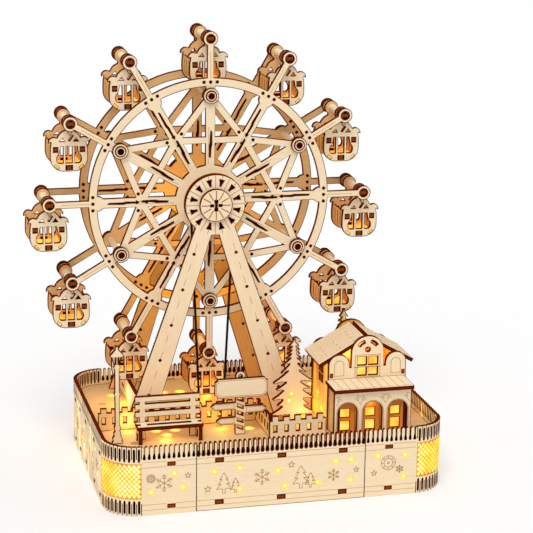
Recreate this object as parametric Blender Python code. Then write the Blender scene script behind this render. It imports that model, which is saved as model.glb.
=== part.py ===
# Laser-cut plywood ferris wheel model with a belt drive, a lit base and a village on its deck.
# Sizes are in millimetres and are turned into metres where meshes are made.
# X runs to the right of the front wall, Y to the back, Z up. The origin lies on the ground,
# under the middle of the front wall's thickness.

import math

import bmesh
import bpy
from mathutils import Matrix, Vector
from mathutils.geometry import delaunay_2d_cdt

MM = 0.001

# Stock and clearances
PLY = 3.0
GAP = 0.3
RUN = 0.08
SLOT = 1.2

# Base box
BASE_WIDTH = 280.0
BASE_DEPTH = 202.5
CORNER_RADIUS = 27.0
WALL_HEIGHT = 57.0
BOTTOM_TOP = 8.1
DECK_TOP = 43.3
FRONT_PANEL_WIDTH = 138.6
COMB_PITCH = 7.0
COMB_DEPTH = 11.0
HINGE_COLUMNS = 5
HINGE_SLOT = 1.3
HINGE_EDGE_SLOT = 12.0
HINGE_BRIDGE = 3.0
TAB_WIDTH = 6.0
TAB_REACH = 2.7
FRONT_TABS = (-89.2, -50.7, 0.0, 50.7, 89.2)
SIDE_TABS = (48.0, 152.0)

# Wheel
WHEEL_X = -34.0
WHEEL_Z = 225.4
GONDOLA_COUNT = 12
RING_CIRCLE = 132.0
RING_RADIUS = 6.1
AXLE_RADIUS = 3.0
RIM_RADIUS = 97.0
RIM_WIDTH = 7.1
ARM_WIDTH = 8.0
ARM_TIP_WIDTH = 5.5
STAR_RADIUS = 57.0
STAR_BAR = 5.5
BOSS_CIRCLE = 86.0
BOSS_RADIUS = 6.5
TIE_ROD_RADIUS = 2.4
HUB_PLATE_RADIUS = 29.0
GUSSET_RADIUS = 6.5
RIM_SIDES = 36
RING_SIDES = 8
AXLE_SIDES = 6
BOSS_SIDES = 8

# Shaft, bushes and drive
SHAFT_RADIUS = 2.5
BUSH_RADIUS = 5.0
BUSH_LENGTH = 6.0
ROUND = 10
CAP_RADIUS = 13.5
CORD_RADIUS = 1.0
HUB_GROOVE_RADIUS = 17.0
HUB_FLANGE_RADIUS = 20.0
MOTOR_GROOVE_RADIUS = 7.7
MOTOR_FLANGE_RADIUS = 10.4
GROOVE_WIDTH = 4.0
FLANGE_THICKNESS = 2.5
SPACER_RADIUS = 8.0
PULLEY_SIDES = 14
MOTOR_Z = 22.0
MOTOR_SHAFT_RADIUS = 1.5
MOTOR_RADIUS = 10.0
MOTOR_LENGTH = 32.0
MOTOR_WELL = 6.0
MOUNT_PLATE_WIDTH = 34.0

# A frames
FRAME_BACK_INSET = 20.6
FRAME_SPACING = 89.0
FRAME_BACK_Y = BASE_DEPTH - FRAME_BACK_INSET
FRAME_FRONT_Y = FRAME_BACK_Y - FRAME_SPACING
FRAME_DISC_RADIUS = 25.0
FOOT_OUTER = 74.0
FOOT_INNER = 51.0
CROTCH_HALF_WIDTH = 3.3
CROTCH_DROP = 25.5
FRAME_TAB = 12.0
NOTCH_COUNT = 12
NOTCH_CIRCLE = 18.5
RAIL_HEIGHT = 19.8
RAIL_OUT = 63.0

# Places of the wheel, shaft and belt between the frames
DRIVE_ROOM = 20.5
BEARING_ROOM = 17.7
BELT_ROOM = 11.1
SHAFT_FRONT_REACH = 2.9
SHAFT_BACK_REACH = 8.1
WHEEL_FRONT_Y = FRAME_FRONT_Y + DRIVE_ROOM
WHEEL_BACK_Y = FRAME_BACK_Y - BEARING_ROOM
BELT_Y = FRAME_FRONT_Y + BELT_ROOM
SHAFT_FRONT_Y = FRAME_FRONT_Y - SHAFT_FRONT_REACH
SHAFT_BACK_Y = FRAME_BACK_Y + SHAFT_BACK_REACH

# Gondolas
GONDOLA_PANEL_Y = 9.9
GONDOLA_ROOM = 55.0
GONDOLA_DEPTH = FRAME_SPACING - GONDOLA_ROOM
GONDOLA_SHELL = 2.0
COLLAR_RADIUS = 5.8
AXLE_RECESS = 0.6
GONDOLA_DROP = 40.3
GONDOLA_HALF_WIDTH = 15.3
ARCH_DROP = 6.0
ARCH_RADIUS = 9.9
NECK_HALF = 3.0

# Scenery
LAMP_INSET = 16.4
LAMP_X = LAMP_INSET - BASE_WIDTH / 2
LAMP_Y = 47.5
LAMP_HEIGHT = 82.0
LAMP_FOOT = 5.2
LAMP_HEAD = 5.6
LAMP_HEAD_HEIGHT = 9.0
LAMP_STEM = 4.0
LAMP_ROOM = 42.1
BENCH_X = LAMP_X + LAMP_ROOM
BENCH_Y = 39.5
BENCH_WIDTH = 53.5
BENCH_DEPTH = 16.0
BENCH_HEIGHT = 36.0
BENCH_SEAT_HEIGHT = 14.5
BENCH_BOARD = 4.6
BENCH_LEG_INSET = 6.0
BENCH_SIDE_INSET = 2.2
SIGN_X = -22.5
SIGN_Y = 47.5
SIGN_HEIGHT = 49.6
SIGN_POST_HALF = 4.1
SIGN_HEAD_RADIUS = 4.2
SIGN_BOARD_HALF = 22.0
SIGN_BOARD_LOW = 32.6
SIGN_BOARD_HEIGHT = 16.2
SIGN_NOTCH = 2.4
ARROW_HALF = 3.0
ARROW_LEFT = 24.7
ARROW_RIGHT = 22.2
ARROW_LOW = 20.0
FENCE_HEIGHT = 19.0
FENCE_PITCH = 8.3
FENCE_TO_FRAME = 15.4
FENCE_ROW_Y = FRAME_FRONT_Y - FENCE_TO_FRAME
FENCE_FRONT_Y = 30.5
FENCE_INSET = 6.0
FENCE_ROW_LEFT = FENCE_INSET - BASE_WIDTH / 2
FENCE_CORNER_X = -2.0
MERLON = 4.0
TREE_TO_FRAME = 18.9
FIR_X = 28.8
FIR_Y = FRAME_FRONT_Y - TREE_TO_FRAME
FIR_HEIGHT = 70.0
FIR_HALF = 18.0
TALL_TREE_X = 82.0
TALL_TREE_Y = 110.0
TALL_TREE_HEIGHT = 83.0
TALL_TREE_HALF = 16.0
SMALL_TREE_X = 113.0
SMALL_TREE_Y = 120.0
SMALL_TREE_HEIGHT = 46.0
SMALL_TREE_HALF = 12.0
TREES = (
    (FIR_X, FIR_Y, FIR_HEIGHT, FIR_HALF),
    (TALL_TREE_X, TALL_TREE_Y, TALL_TREE_HEIGHT, TALL_TREE_HALF),
    (SMALL_TREE_X, SMALL_TREE_Y, SMALL_TREE_HEIGHT, SMALL_TREE_HALF),
)
TRUNK_WIDTH = 6.0
TRUNK_HEIGHT = 7.5

# House
HOUSE_X = 82.8
HOUSE_Y = 41.5
HOUSE_WIDTH = 66.2
HOUSE_DEPTH = 51.0
EAVE_HEIGHT = 64.6
EAVE_TO_WALL = 8.6
SIDE_ARCH_RADIUS = 8.9
HOUSE_WALL_INSET = 1.0
RIDGE_HEIGHT = 79.0
ROOF_OVERHANG = 4.0
ROOF_SLOPE = math.radians(29.5)
ROOF_LENGTH = 45.0
PORCH_DEPTH = 24.0
PORCH_WIDTH = 65.0
PORCH_SHIFT = 2.2
PORCH_HEIGHT = 40.0
PORCH_ARCH = 16.0

# Electrics in the base
BATTERY_X = BASE_WIDTH / 4
BATTERY_Y = 120.0
BATTERY_SIZE = (62.0, 52.0, 17.0)
SWITCH_X = 60.0
SWITCH_Z = 24.0
SWITCH_BODY = (20.0, 8.0, 10.0)
LEVER_SIZE = (4.0, 3.6)
LEVER_TRAVEL = 3.0
LEVER_REACH = 2.0


# Outlines
def box_outline(u0, v0, u1, v1):
    return [(u0, v0), (u1, v0), (u1, v1), (u0, v1)]


def circle_outline(cu, cv, radius, sides):
    return arc_points(cu, cv, radius, 0.0, math.tau * (sides - 1) / sides, sides)


def arc_points(cu, cv, radius, start, end, count):
    angles = [start + (end - start) * i / (count - 1) for i in range(count)]
    return [(cu + radius * math.cos(a), cv + radius * math.sin(a)) for a in angles]


def bar_outline(start, end, width):
    """A straight bar of the given width between two points."""
    along = (Vector(end) - Vector(start)).normalized()
    side = Vector((-along.y, along.x)) * (width / 2)
    corners = (Vector(start) + side, Vector(start) - side, Vector(end) - side, Vector(end) + side)
    return [tuple(corner) for corner in corners]


def clock_point(radius, angle):
    """A point at an angle from straight up, clockwise as seen from the front."""
    return (radius * math.sin(angle), radius * math.cos(angle))


def mirrored(outline):
    return [(-u, v) for u, v in reversed(outline)]


def bore(radius, clearance, sides=ROUND):
    """Radius of a faceted hole whose flats clear a round of the given radius."""
    return (radius + clearance) / math.cos(math.pi / sides)


def holds(outline, point):
    """Even-odd test of a point against a closed outline."""
    inside = False
    x, y = point
    previous = outline[-1]
    for current in outline:
        if (current[1] > y) != (previous[1] > y):
            slope = (previous[0] - current[0]) / (previous[1] - current[1])
            if x < current[0] + slope * (y - current[1]):
                inside = not inside
        previous = current
    return inside


# Solids
def triangulate(points, edges, layers):
    """Triangulate outlines and say for each triangle which layers it is solid in."""
    corners, _, triangles = delaunay_2d_cdt(points, edges, [], 0, 1e-5)[:3]
    classes = []
    for tri in triangles:
        centre = sum((corners[i] for i in tri), Vector((0, 0))) / 3
        classes.append(tuple(
            any(holds(o, centre) for o in adds) and not any(holds(o, centre) for o in cuts)
            for start, end, adds, cuts in layers
        ))
    neighbours = {}
    for index, tri in enumerate(triangles):
        for a, b in zip(tri, (*tri[1:], tri[0])):
            neighbours[(a, b)] = index
    return corners, triangles, classes, neighbours


def true_edges(layers):
    """The edges where any layer starts or ends, with straight runs made into one edge."""
    points, edges = [], []
    for start, end, adds, cuts in layers:
        for outline in list(adds) + list(cuts):
            first = len(points)
            points += [Vector(p) for p in outline]
            count = len(outline)
            edges += [(first + i, first + (i + 1) % count) for i in range(count)]
    corners, triangles, classes, neighbours = triangulate(points, edges, layers)
    links = {}
    outside = tuple(False for layer in layers)
    for (a, b), index in neighbours.items():
        other = neighbours.get((b, a))
        across = classes[other] if other is not None else outside
        if across != classes[index]:
            links.setdefault(a, set()).add(b)
            links.setdefault(b, set()).add(a)
    for index in list(links):
        if len(links[index]) != 2:
            continue
        a, b = links[index]
        bow = (corners[index] - corners[a]).normalized().cross(
            (corners[b] - corners[index]).normalized())
        if abs(bow) < 1e-3 and b not in links[a]:
            del links[index]
            links[a].remove(index)
            links[b].remove(index)
            links[a].add(b)
            links[b].add(a)
    order = {index: place for place, index in enumerate(links)}
    kept = [corners[index] for index in links]
    pairs = [(order[a], order[b]) for a in links for b in links[a] if a < b]
    return kept, pairs


def layered_mesh(layers, bend=None, guides=()):
    """Stack laser-cut layers into one closed mesh.

    Each layer is (start, end, adds, cuts): the union of the adds less the cuts, between two
    heights along w. One triangulation serves all layers, so that they share their corners.
    """
    points, edges = true_edges(layers)
    for guide in guides:
        edges.append((len(points), len(points) + 1))
        points += [Vector(p) for p in guide]
    corners, triangles, classes, neighbours = triangulate(points, edges, layers)
    levels = [layers[0][0]] + [layer[1] for layer in layers]
    mesh = bmesh.new()
    made = {}

    def corner(index, level):
        key = (index, level)
        if key not in made:
            made[key] = mesh.verts.new((corners[index].x, corners[index].y, levels[level]))
        return made[key]

    def filled(index, layer):
        return index is not None and 0 <= layer < len(layers) and classes[index][layer]

    for level in range(len(levels)):
        for index, tri in enumerate(triangles):
            if filled(index, level - 1) != filled(index, level):
                mesh.faces.new([corner(i, level) for i in tri])
    for level in range(len(layers)):
        for (a, b), index in neighbours.items():
            if filled(index, level) and not filled(neighbours.get((b, a)), level):
                mesh.faces.new((corner(a, level), corner(b, level), corner(b, level + 1),
                                corner(a, level + 1)))
    if not guides:
        bmesh.ops.dissolve_limit(mesh, angle_limit=0.001, verts=mesh.verts, edges=mesh.edges)
    if bend:
        for vertex in mesh.verts:
            vertex.co = bend(vertex.co)
    bmesh.ops.recalc_face_normals(mesh, faces=mesh.faces)
    return mesh


TURNS = {
    "front": Matrix(((1, 0, 0), (0, 0, 1), (0, 1, 0))).to_4x4(),
    "side": Matrix(((0, 0, 1), (1, 0, 0), (0, 1, 0))).to_4x4(),
    "flat": Matrix.Identity(4),
}


def material(name, colour, roughness, metallic=0.0):
    made = bpy.data.materials.new(name)
    made.use_nodes = True
    shader = made.node_tree.nodes["Principled BSDF"]
    shader.inputs["Base Color"].default_value = (*colour, 1.0)
    shader.inputs["Roughness"].default_value = roughness
    shader.inputs["Metallic"].default_value = metallic
    return made


def add_object(name, mesh, look, at=(0, 0, 0), turn=None, rotation=None):
    """Turn a bmesh in millimetres into a named object in metres."""
    if turn:
        bmesh.ops.transform(mesh, matrix=TURNS[turn], verts=mesh.verts)
    bmesh.ops.scale(mesh, vec=(MM, MM, MM), verts=mesh.verts)
    bmesh.ops.recalc_face_normals(mesh, faces=mesh.faces)
    data = bpy.data.meshes.new(name)
    mesh.to_mesh(data)
    mesh.free()
    made = bpy.data.objects.new(name, data)
    made.location = Vector(at) * MM
    if rotation:
        made.rotation_euler = rotation
    colour, roughness, metallic = look
    data.materials.append(material(name, colour, roughness, metallic))
    bpy.context.scene.collection.objects.link(made)
    return made


def plate(name, adds, cuts, at, turn, look=None, thickness=PLY, rotation=None):
    mesh = layered_mesh([(0.0, thickness, adds, cuts)])
    return add_object(name, mesh, look or WOOD, at, turn, rotation)


def fuse(name, pieces):
    """Join crossing plates into one solid with exact unions."""
    body = pieces[0]
    for other in pieces[1:]:
        union = body.modifiers.new("union", "BOOLEAN")
        union.operation = "UNION"
        union.solver = "EXACT"
        union.object = other
    graph = bpy.context.evaluated_depsgraph_get()
    data = bpy.data.meshes.new_from_object(body.evaluated_get(graph))
    data.name = name
    body.modifiers.clear()
    body.data = data
    body.name = name
    for other in pieces[1:]:
        bpy.data.objects.remove(other)
    return body


WOOD = ((0.78, 0.56, 0.33), 0.6, 0.0)
DARK_WOOD = ((0.30, 0.12, 0.04), 0.6, 0.0)
STEEL = ((0.55, 0.55, 0.56), 0.3, 1.0)
BRONZE = ((0.45, 0.30, 0.15), 0.4, 0.8)
RUBBER = ((0.02, 0.02, 0.02), 0.7, 0.0)
PLASTIC = ((0.05, 0.05, 0.05), 0.5, 0.0)
YELLOW = ((0.85, 0.60, 0.10), 0.5, 0.0)


# Base
BACK_FACE = BASE_DEPTH - PLY / 2
HALF_WIDTH = BASE_WIDTH / 2
FLAT_HALF = HALF_WIDTH - CORNER_RADIUS
SIDE_START = CORNER_RADIUS - PLY / 2
SIDE_END = BACK_FACE - CORNER_RADIUS
SIDE_MIDDLE = (SIDE_START + SIDE_END) / 2
BOTTOM_UNDER = BOTTOM_TOP - PLY
DECK_UNDER = DECK_TOP - PLY
LEVELS = (BOTTOM_UNDER, DECK_UNDER)


def comb_cuts(start, end):
    """Open slots along the top edge of a wall between two places."""
    count = int((end - start) / COMB_PITCH + 0.001)
    first = (start + end - (count - 1) * COMB_PITCH) / 2
    low = WALL_HEIGHT - COMB_DEPTH
    places = [first + i * COMB_PITCH for i in range(count)]
    return [box_outline(u - SLOT / 2, low, u + SLOT / 2, WALL_HEIGHT + 1.0) for u in places]


def tab_holes(places):
    """Slots that the tabs of the deck and the bottom plate pass through."""
    half = TAB_WIDTH / 2 + GAP
    return [box_outline(u - half, v - GAP, u + half, v + PLY + GAP) for u in places for v in LEVELS]


def flat_wall(name, y):
    half = FRONT_PANEL_WIDTH / 2 - GAP / 2
    tabs = [u for u in FRONT_TABS if abs(u) < half]
    cuts = comb_cuts(-FRONT_PANEL_WIDTH / 2, FRONT_PANEL_WIDTH / 2) + tab_holes(tabs)
    return plate(name, [box_outline(-half, 0.0, half, WALL_HEIGHT)], cuts, (0.0, y, 0.0), "front")


def corner_wrap(name, side, rear):
    """A sheet that runs from the flat wall round a living hinge into half of the side wall."""
    middle_radius = CORNER_RADIUS - PLY / 2
    arc = middle_radius * math.pi / 2
    flat = FLAT_HALF - FRONT_PANEL_WIDTH / 2 - GAP / 2
    side_length = SIDE_MIDDLE - SIDE_START - GAP / 2
    pitch = arc / HINGE_COLUMNS
    cuts = comb_cuts(-flat, 0.0) + comb_cuts(arc, arc + side_length)
    tab_at = [-(FLAT_HALF - u) for u in FRONT_TABS if u > FRONT_PANEL_WIDTH / 2]
    front_side = SIDE_TABS[0] - SIDE_START
    rear_side = SIDE_END - SIDE_TABS[1]
    tab_at.append(arc + (rear_side if rear else front_side))
    cuts += tab_holes(tab_at)
    guides = []
    band = WALL_HEIGHT - 2 * HINGE_EDGE_SLOT
    for column in range(HINGE_COLUMNS):
        u = (column + 0.5) * pitch
        low, high = u - HINGE_SLOT / 2, u + HINGE_SLOT / 2
        cuts.append(box_outline(low, -1.0, high, HINGE_EDGE_SLOT))
        cuts.append(box_outline(low, WALL_HEIGHT - HINGE_EDGE_SLOT, high, WALL_HEIGHT + 1.0))
        guides += [((g, 0.0), (g, WALL_HEIGHT)) for g in (low, high)]
    for column in range(HINGE_COLUMNS - 1):
        u = (column + 1) * pitch
        low, high = u - HINGE_SLOT / 2, u + HINGE_SLOT / 2
        start = HINGE_EDGE_SLOT - HINGE_BRIDGE
        cuts.append(box_outline(low, start, high, WALL_HEIGHT - start))
        guides += [((g, 0.0), (g, WALL_HEIGHT)) for g in (low, high)]
    guides += [((g, 0.0), (g, WALL_HEIGHT)) for g in (0.0, arc)]

    def bend(point):
        u, v, w = point
        if u <= 0.0:
            x, y = FLAT_HALF + u, -PLY / 2 + w
        elif u >= arc:
            x, y = HALF_WIDTH - w, SIDE_START + u - arc
        else:
            turn = u / middle_radius
            radius = CORNER_RADIUS - w
            x = FLAT_HALF + radius * math.sin(turn)
            y = SIDE_START - radius * math.cos(turn)
        if rear:
            y = BASE_DEPTH - PLY - y
        return Vector((side * x, y, v))

    sheet = [box_outline(-flat, 0.0, arc + side_length, WALL_HEIGHT)]
    mesh = layered_mesh([(0.0, PLY, sheet, cuts)], bend, guides)
    return add_object(name, mesh, WOOD)


def base_floor(name, under, cuts):
    """A plate inside the walls, with tabs that reach into them."""
    inset = PLY + GAP
    inner = CORNER_RADIUS - inset
    right, left = HALF_WIDTH - inset, -HALF_WIDTH + inset
    front, back = -PLY / 2 + inset, BACK_FACE - inset
    quarter = math.pi / 2
    outline = []
    for u, v, start in ((right, back, 0), (left, back, 1), (left, front, 2), (right, front, 3)):
        cu = u - math.copysign(inner, u)
        cv = v - inner if v > SIDE_MIDDLE else v + inner
        outline += arc_points(cu, cv, inner, start * quarter, (start + 1) * quarter, 5)
    tabs = []
    for u in FRONT_TABS:
        tabs.append(box_outline(u - TAB_WIDTH / 2, front - TAB_REACH, u + TAB_WIDTH / 2, front + 5))
        tabs.append(box_outline(u - TAB_WIDTH / 2, back - 5, u + TAB_WIDTH / 2, back + TAB_REACH))
    for v in SIDE_TABS:
        low, high = v - TAB_WIDTH / 2, v + TAB_WIDTH / 2
        tabs.append(box_outline(left - TAB_REACH, low, left + 5, high))
        tabs.append(box_outline(right - 5, low, right + TAB_REACH, high))
    return plate(name, [outline] + tabs, cuts, (0.0, 0.0, under), "flat")


def frame_tab_slots():
    """Slots in the deck for the feet of both A frames."""
    slots = []
    for y in (FRAME_FRONT_Y, FRAME_BACK_Y):
        for side in (-1, 1):
            u = WHEEL_X + side * (FOOT_OUTER + FOOT_INNER) / 2
            half = FRAME_TAB / 2 + GAP
            slots.append(box_outline(u - half, y - GAP, u + half, y + PLY + GAP))
    return slots


def belt_half_width(z):
    """Distance of the belt's runs from its middle plane at a height."""
    top, low = HUB_GROOVE_RADIUS + GAP + CORD_RADIUS, MOTOR_GROOVE_RADIUS + GAP + CORD_RADIUS
    lean = math.asin((top - low) / (WHEEL_Z - MOTOR_Z))
    return top / math.cos(lean) - (WHEEL_Z - z) * math.tan(lean)


def belt_slots():
    slots = []
    reach = belt_half_width(DECK_TOP)
    for side in (-1, 1):
        u = WHEEL_X + side * reach
        slots.append(box_outline(u - 3.0, BELT_Y - 3.0, u + 3.0, BELT_Y + 3.0))
    return slots


def make_base():
    base_floor("bottom_plate", BOTTOM_UNDER, [])
    base_floor("deck", DECK_UNDER, frame_tab_slots() + belt_slots())
    flat_wall("front_wall", -PLY / 2)
    switch_wall()
    for name, side, rear in (("front_left", -1, False), ("front_right", 1, False),
                             ("back_left", -1, True), ("back_right", 1, True)):
        corner_wrap("corner_" + name, side, rear)


def switch_wall():
    """The back wall, with the slot of the power switch."""
    half = FRONT_PANEL_WIDTH / 2 - GAP / 2
    tabs = [u for u in FRONT_TABS if abs(u) < half]
    cuts = comb_cuts(-FRONT_PANEL_WIDTH / 2, FRONT_PANEL_WIDTH / 2) + tab_holes(tabs)
    reach = LEVER_SIZE[0] / 2 + LEVER_TRAVEL / 2 + GAP
    rise = LEVER_SIZE[1] / 2 + GAP
    cuts.append(box_outline(SWITCH_X - reach, SWITCH_Z - rise, SWITCH_X + reach, SWITCH_Z + rise))
    wall = [box_outline(-half, 0.0, half, WALL_HEIGHT)]
    return plate("back_wall", wall, cuts, (0.0, BACK_FACE - PLY, 0.0), "front")


# Frames that carry the wheel
def a_frame(name, y):
    drop = WHEEL_Z - DECK_TOP - GAP
    tab_drop = WHEEL_Z - DECK_UNDER
    tangent = FRAME_DISC_RADIUS * 0.94
    leg = [(0.0, 0.0), (tangent, -FRAME_DISC_RADIUS * 0.34), (FOOT_OUTER, -drop),
           (FOOT_INNER, -drop), (CROTCH_HALF_WIDTH, -CROTCH_DROP), (0.0, -CROTCH_DROP)]
    disc = circle_outline(0.0, 0.0, FRAME_DISC_RADIUS, 28)
    middle = (FOOT_OUTER + FOOT_INNER) / 2
    tab = box_outline(middle - FRAME_TAB / 2, -tab_drop, middle + FRAME_TAB / 2, -drop + 1.0)
    cuts = [circle_outline(0.0, 0.0, bore(BUSH_RADIUS, GAP), ROUND)]
    for index in range(NOTCH_COUNT):
        angle = math.tau * (index + 0.5) / NOTCH_COUNT
        outer = [clock_point(NOTCH_CIRCLE + 2.0, angle + turn) for turn in (-0.1, 0.1)]
        cuts.append([*outer, clock_point(NOTCH_CIRCLE - 3.0, angle)])
    adds = [disc, leg, mirrored(leg), tab, mirrored(tab)]
    return plate(name, adds, cuts, (WHEEL_X, y, WHEEL_Z), "front")


def bush(name, y):
    """A plain bearing, pressed into the hub of an A frame."""
    ring = [circle_outline(0.0, 0.0, BUSH_RADIUS, ROUND)]
    hole = [circle_outline(0.0, 0.0, bore(SHAFT_RADIUS, RUN), ROUND)]
    return plate(name, ring, hole, (WHEEL_X, y, WHEEL_Z), "front", BRONZE, BUSH_LENGTH)


def foot_rail(name, side):
    """A board between the feet of both frames."""
    length = FRAME_BACK_Y - FRAME_FRONT_Y - PLY - 2 * GAP
    at = (WHEEL_X + side * RAIL_OUT - PLY / 2, FRAME_FRONT_Y + PLY + GAP, DECK_TOP + GAP)
    return plate(name, [box_outline(0.0, 0.0, length, RAIL_HEIGHT)], [], at, "side")


def make_frames():
    a_frame("front_frame", FRAME_FRONT_Y)
    a_frame("back_frame", FRAME_BACK_Y)
    bush("front_bush", FRAME_FRONT_Y)
    bush("back_bush", FRAME_BACK_Y + PLY - BUSH_LENGTH)
    foot_rail("foot_rail_left", -1)
    foot_rail("foot_rail_right", 1)


# Wheel
def wheel_outlines():
    """Union and cuts of one side of the wheel, seen from the front."""
    step = math.tau / GONDOLA_COUNT
    adds = [circle_outline(0.0, 0.0, HUB_PLATE_RADIUS, 24)]
    cuts = [circle_outline(0.0, 0.0, bore(SHAFT_RADIUS, GAP), ROUND)]
    rim_outer = circle_outline(0.0, 0.0, RIM_RADIUS + RIM_WIDTH / 2, RIM_SIDES)
    rim_inner = circle_outline(0.0, 0.0, RIM_RADIUS - RIM_WIDTH / 2, RIM_SIDES)
    for index in range(GONDOLA_COUNT):
        angle = index * step
        adds.append(bar_outline((0.0, 0.0), clock_point(RIM_RADIUS, angle), ARM_WIDTH))
        adds.append(bar_outline(clock_point(RIM_RADIUS, angle), clock_point(RING_CIRCLE, angle),
                                ARM_TIP_WIDTH))
        ring = clock_point(RING_CIRCLE, angle)
        adds.append(circle_outline(*ring, RING_RADIUS, RING_SIDES))
        cuts.append(circle_outline(*ring, bore(AXLE_RADIUS, RUN, AXLE_SIDES), AXLE_SIDES))
        if index % 2 == 1:
            node = clock_point(STAR_RADIUS, angle)
            adds.append(bar_outline(node, clock_point(STAR_RADIUS, angle + 2 * step), STAR_BAR))
            for turn in (-step, step):
                adds.append(bar_outline(node, clock_point(BOSS_CIRCLE, angle + turn), STAR_BAR))
            gusset = clock_point(RIM_RADIUS - RIM_WIDTH / 2, angle)
            adds.append(circle_outline(*gusset, GUSSET_RADIUS, 6))
    return adds, cuts, rim_outer, rim_inner


def boss_outlines(radius, sides=BOSS_SIDES):
    step = math.tau / (GONDOLA_COUNT // 2)
    places = [clock_point(BOSS_CIRCLE, i * step) for i in range(GONDOLA_COUNT // 2)]
    return [circle_outline(*place, radius, sides) for place in places]


def wheel_side(name, y, layers_before, layers_after):
    """One plate of the wheel, with the discs or rods that are fused to it."""
    adds, cuts, rim_outer, rim_inner = wheel_outlines()
    rim_segments = []
    for index in range(RIM_SIDES):
        following = (index + 1) % RIM_SIDES
        rim_segments.append([rim_inner[index], rim_outer[index], rim_outer[following],
                             rim_inner[following]])
    adds += rim_segments + boss_outlines(BOSS_RADIUS)
    layers = layers_before + [(0.0, PLY, adds, cuts)] + layers_after
    mesh = layered_mesh(layers)
    return add_object(name, mesh, WOOD, (WHEEL_X, y, WHEEL_Z), "front")


def make_wheel():
    discs = boss_outlines(BOSS_RADIUS)
    rods = boss_outlines(TIE_ROD_RADIUS, 6)
    inner_gap = WHEEL_BACK_Y - WHEEL_FRONT_Y - PLY
    hole = [circle_outline(0.0, 0.0, bore(SHAFT_RADIUS, GAP), ROUND)]
    spacer = circle_outline(0.0, 0.0, SPACER_RADIUS, 8)
    bush_face = FRAME_BACK_Y + PLY - BUSH_LENGTH - GAP - WHEEL_BACK_Y
    wheel_side("wheel_front", WHEEL_FRONT_Y, [(-PLY, 0.0, discs, [])], [])
    wheel_side("wheel_back", WHEEL_BACK_Y, [(GAP - inner_gap, 0.0, rods, [])],
               [(PLY, 2 * PLY, discs + [spacer], hole), (2 * PLY, bush_face, [spacer], hole)])
    length = SHAFT_BACK_Y - SHAFT_FRONT_Y
    shaft = [circle_outline(0.0, 0.0, SHAFT_RADIUS, ROUND)]
    plate("main_shaft", shaft, [], (WHEEL_X, SHAFT_FRONT_Y, WHEEL_Z), "front", STEEL, length)
    cap = [circle_outline(0.0, 0.0, CAP_RADIUS, 20)]
    at = (WHEEL_X, FRAME_FRONT_Y - GAP - PLY, WHEEL_Z)
    plate("hub_cap", cap, hole, at, "front")
    pulley("hub_pulley", HUB_GROOVE_RADIUS, HUB_FLANGE_RADIUS, hole, spacer,
           WHEEL_FRONT_Y - GAP - BELT_Y, (WHEEL_X, BELT_Y, WHEEL_Z))


def pulley(name, groove, flange, hole, spacer, spacer_end, at):
    """A grooved pulley about its belt plane, with a spacer or shaft behind it."""
    half = GROOVE_WIDTH / 2
    rim = half + FLANGE_THICKNESS
    layers = [
        (-rim, -half, [circle_outline(0.0, 0.0, flange, PULLEY_SIDES)], hole),
        (-half, half, [circle_outline(0.0, 0.0, groove, PULLEY_SIDES)], hole),
        (half, rim, [circle_outline(0.0, 0.0, flange, PULLEY_SIDES)], hole),
        (rim, spacer_end, [spacer], hole),
    ]
    return add_object(name, layered_mesh(layers), WOOD, at, "front")


# Gondolas
def gondola_outlines():
    """Front panel, its windows and the shell of a gondola, about its axle."""
    half, drop = GONDOLA_HALF_WIDTH, GONDOLA_DROP
    floor = (half * 0.45, -drop)
    bilge = (half * 0.9, -drop + 4.3)
    side = (half, -drop + 11.8)
    shoulder = (half, -drop + 22.7)
    eave = (half - 2.5, shoulder[1] + 6.0)
    arch_middle = -ARCH_DROP - ARCH_RADIUS
    arch = arc_points(0.0, arch_middle, ARCH_RADIUS, 0.27, math.pi / 2, 4)
    right = [floor, bilge, side, shoulder, (half + 1.4, shoulder[1] + 1.4), eave] + arch
    panel = right + mirrored(right)[1:]
    neck = box_outline(-NECK_HALF, arch_middle, NECK_HALF, -COLLAR_RADIUS / 2)
    top, low = arch_middle - 3.9, -drop + 6.9
    inner_post, outer_post = 2.6, 4.7
    middle_window = box_outline(-inner_post, low, inner_post, top)
    side_window = [(outer_post, low), (half - 5.7, low), (half - 5.7, low + 6.5),
                   (half - 7.0, top), (outer_post, top)]
    windows = [middle_window, side_window, mirrored(side_window)]
    thick = GONDOLA_SHELL
    outer = [floor, bilge, side, shoulder]
    inner = [(half - thick, shoulder[1]), (half - thick, side[1] + 0.4),
             (bilge[0] - 1.7, bilge[1] + 1.1), (floor[0] - 0.7, floor[1] + thick)]
    shell = outer + inner + mirrored(inner) + mirrored(outer)
    return [panel, neck], windows, shell


def gondola_mesh():
    panels, windows, shell = gondola_outlines()
    axle = [circle_outline(0.0, 0.0, AXLE_RADIUS, AXLE_SIDES)]
    collar = [circle_outline(0.0, 0.0, COLLAR_RADIUS, RING_SIDES)]
    inside = PLY + GAP
    far = WHEEL_BACK_Y - WHEEL_FRONT_Y
    near_panel = GONDOLA_PANEL_Y
    far_panel = near_panel + GONDOLA_DEPTH
    layers = [
        (AXLE_RECESS, inside, axle, []),
        (inside, near_panel, collar, []),
        (near_panel, near_panel + PLY, panels + collar, windows),
        (near_panel + PLY, far_panel - PLY, [shell] + axle, []),
        (far_panel - PLY, far_panel, panels + collar, windows),
        (far_panel, far - GAP, collar, []),
        (far - GAP, far + PLY - AXLE_RECESS, axle, []),
    ]
    return layered_mesh(layers)


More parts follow.
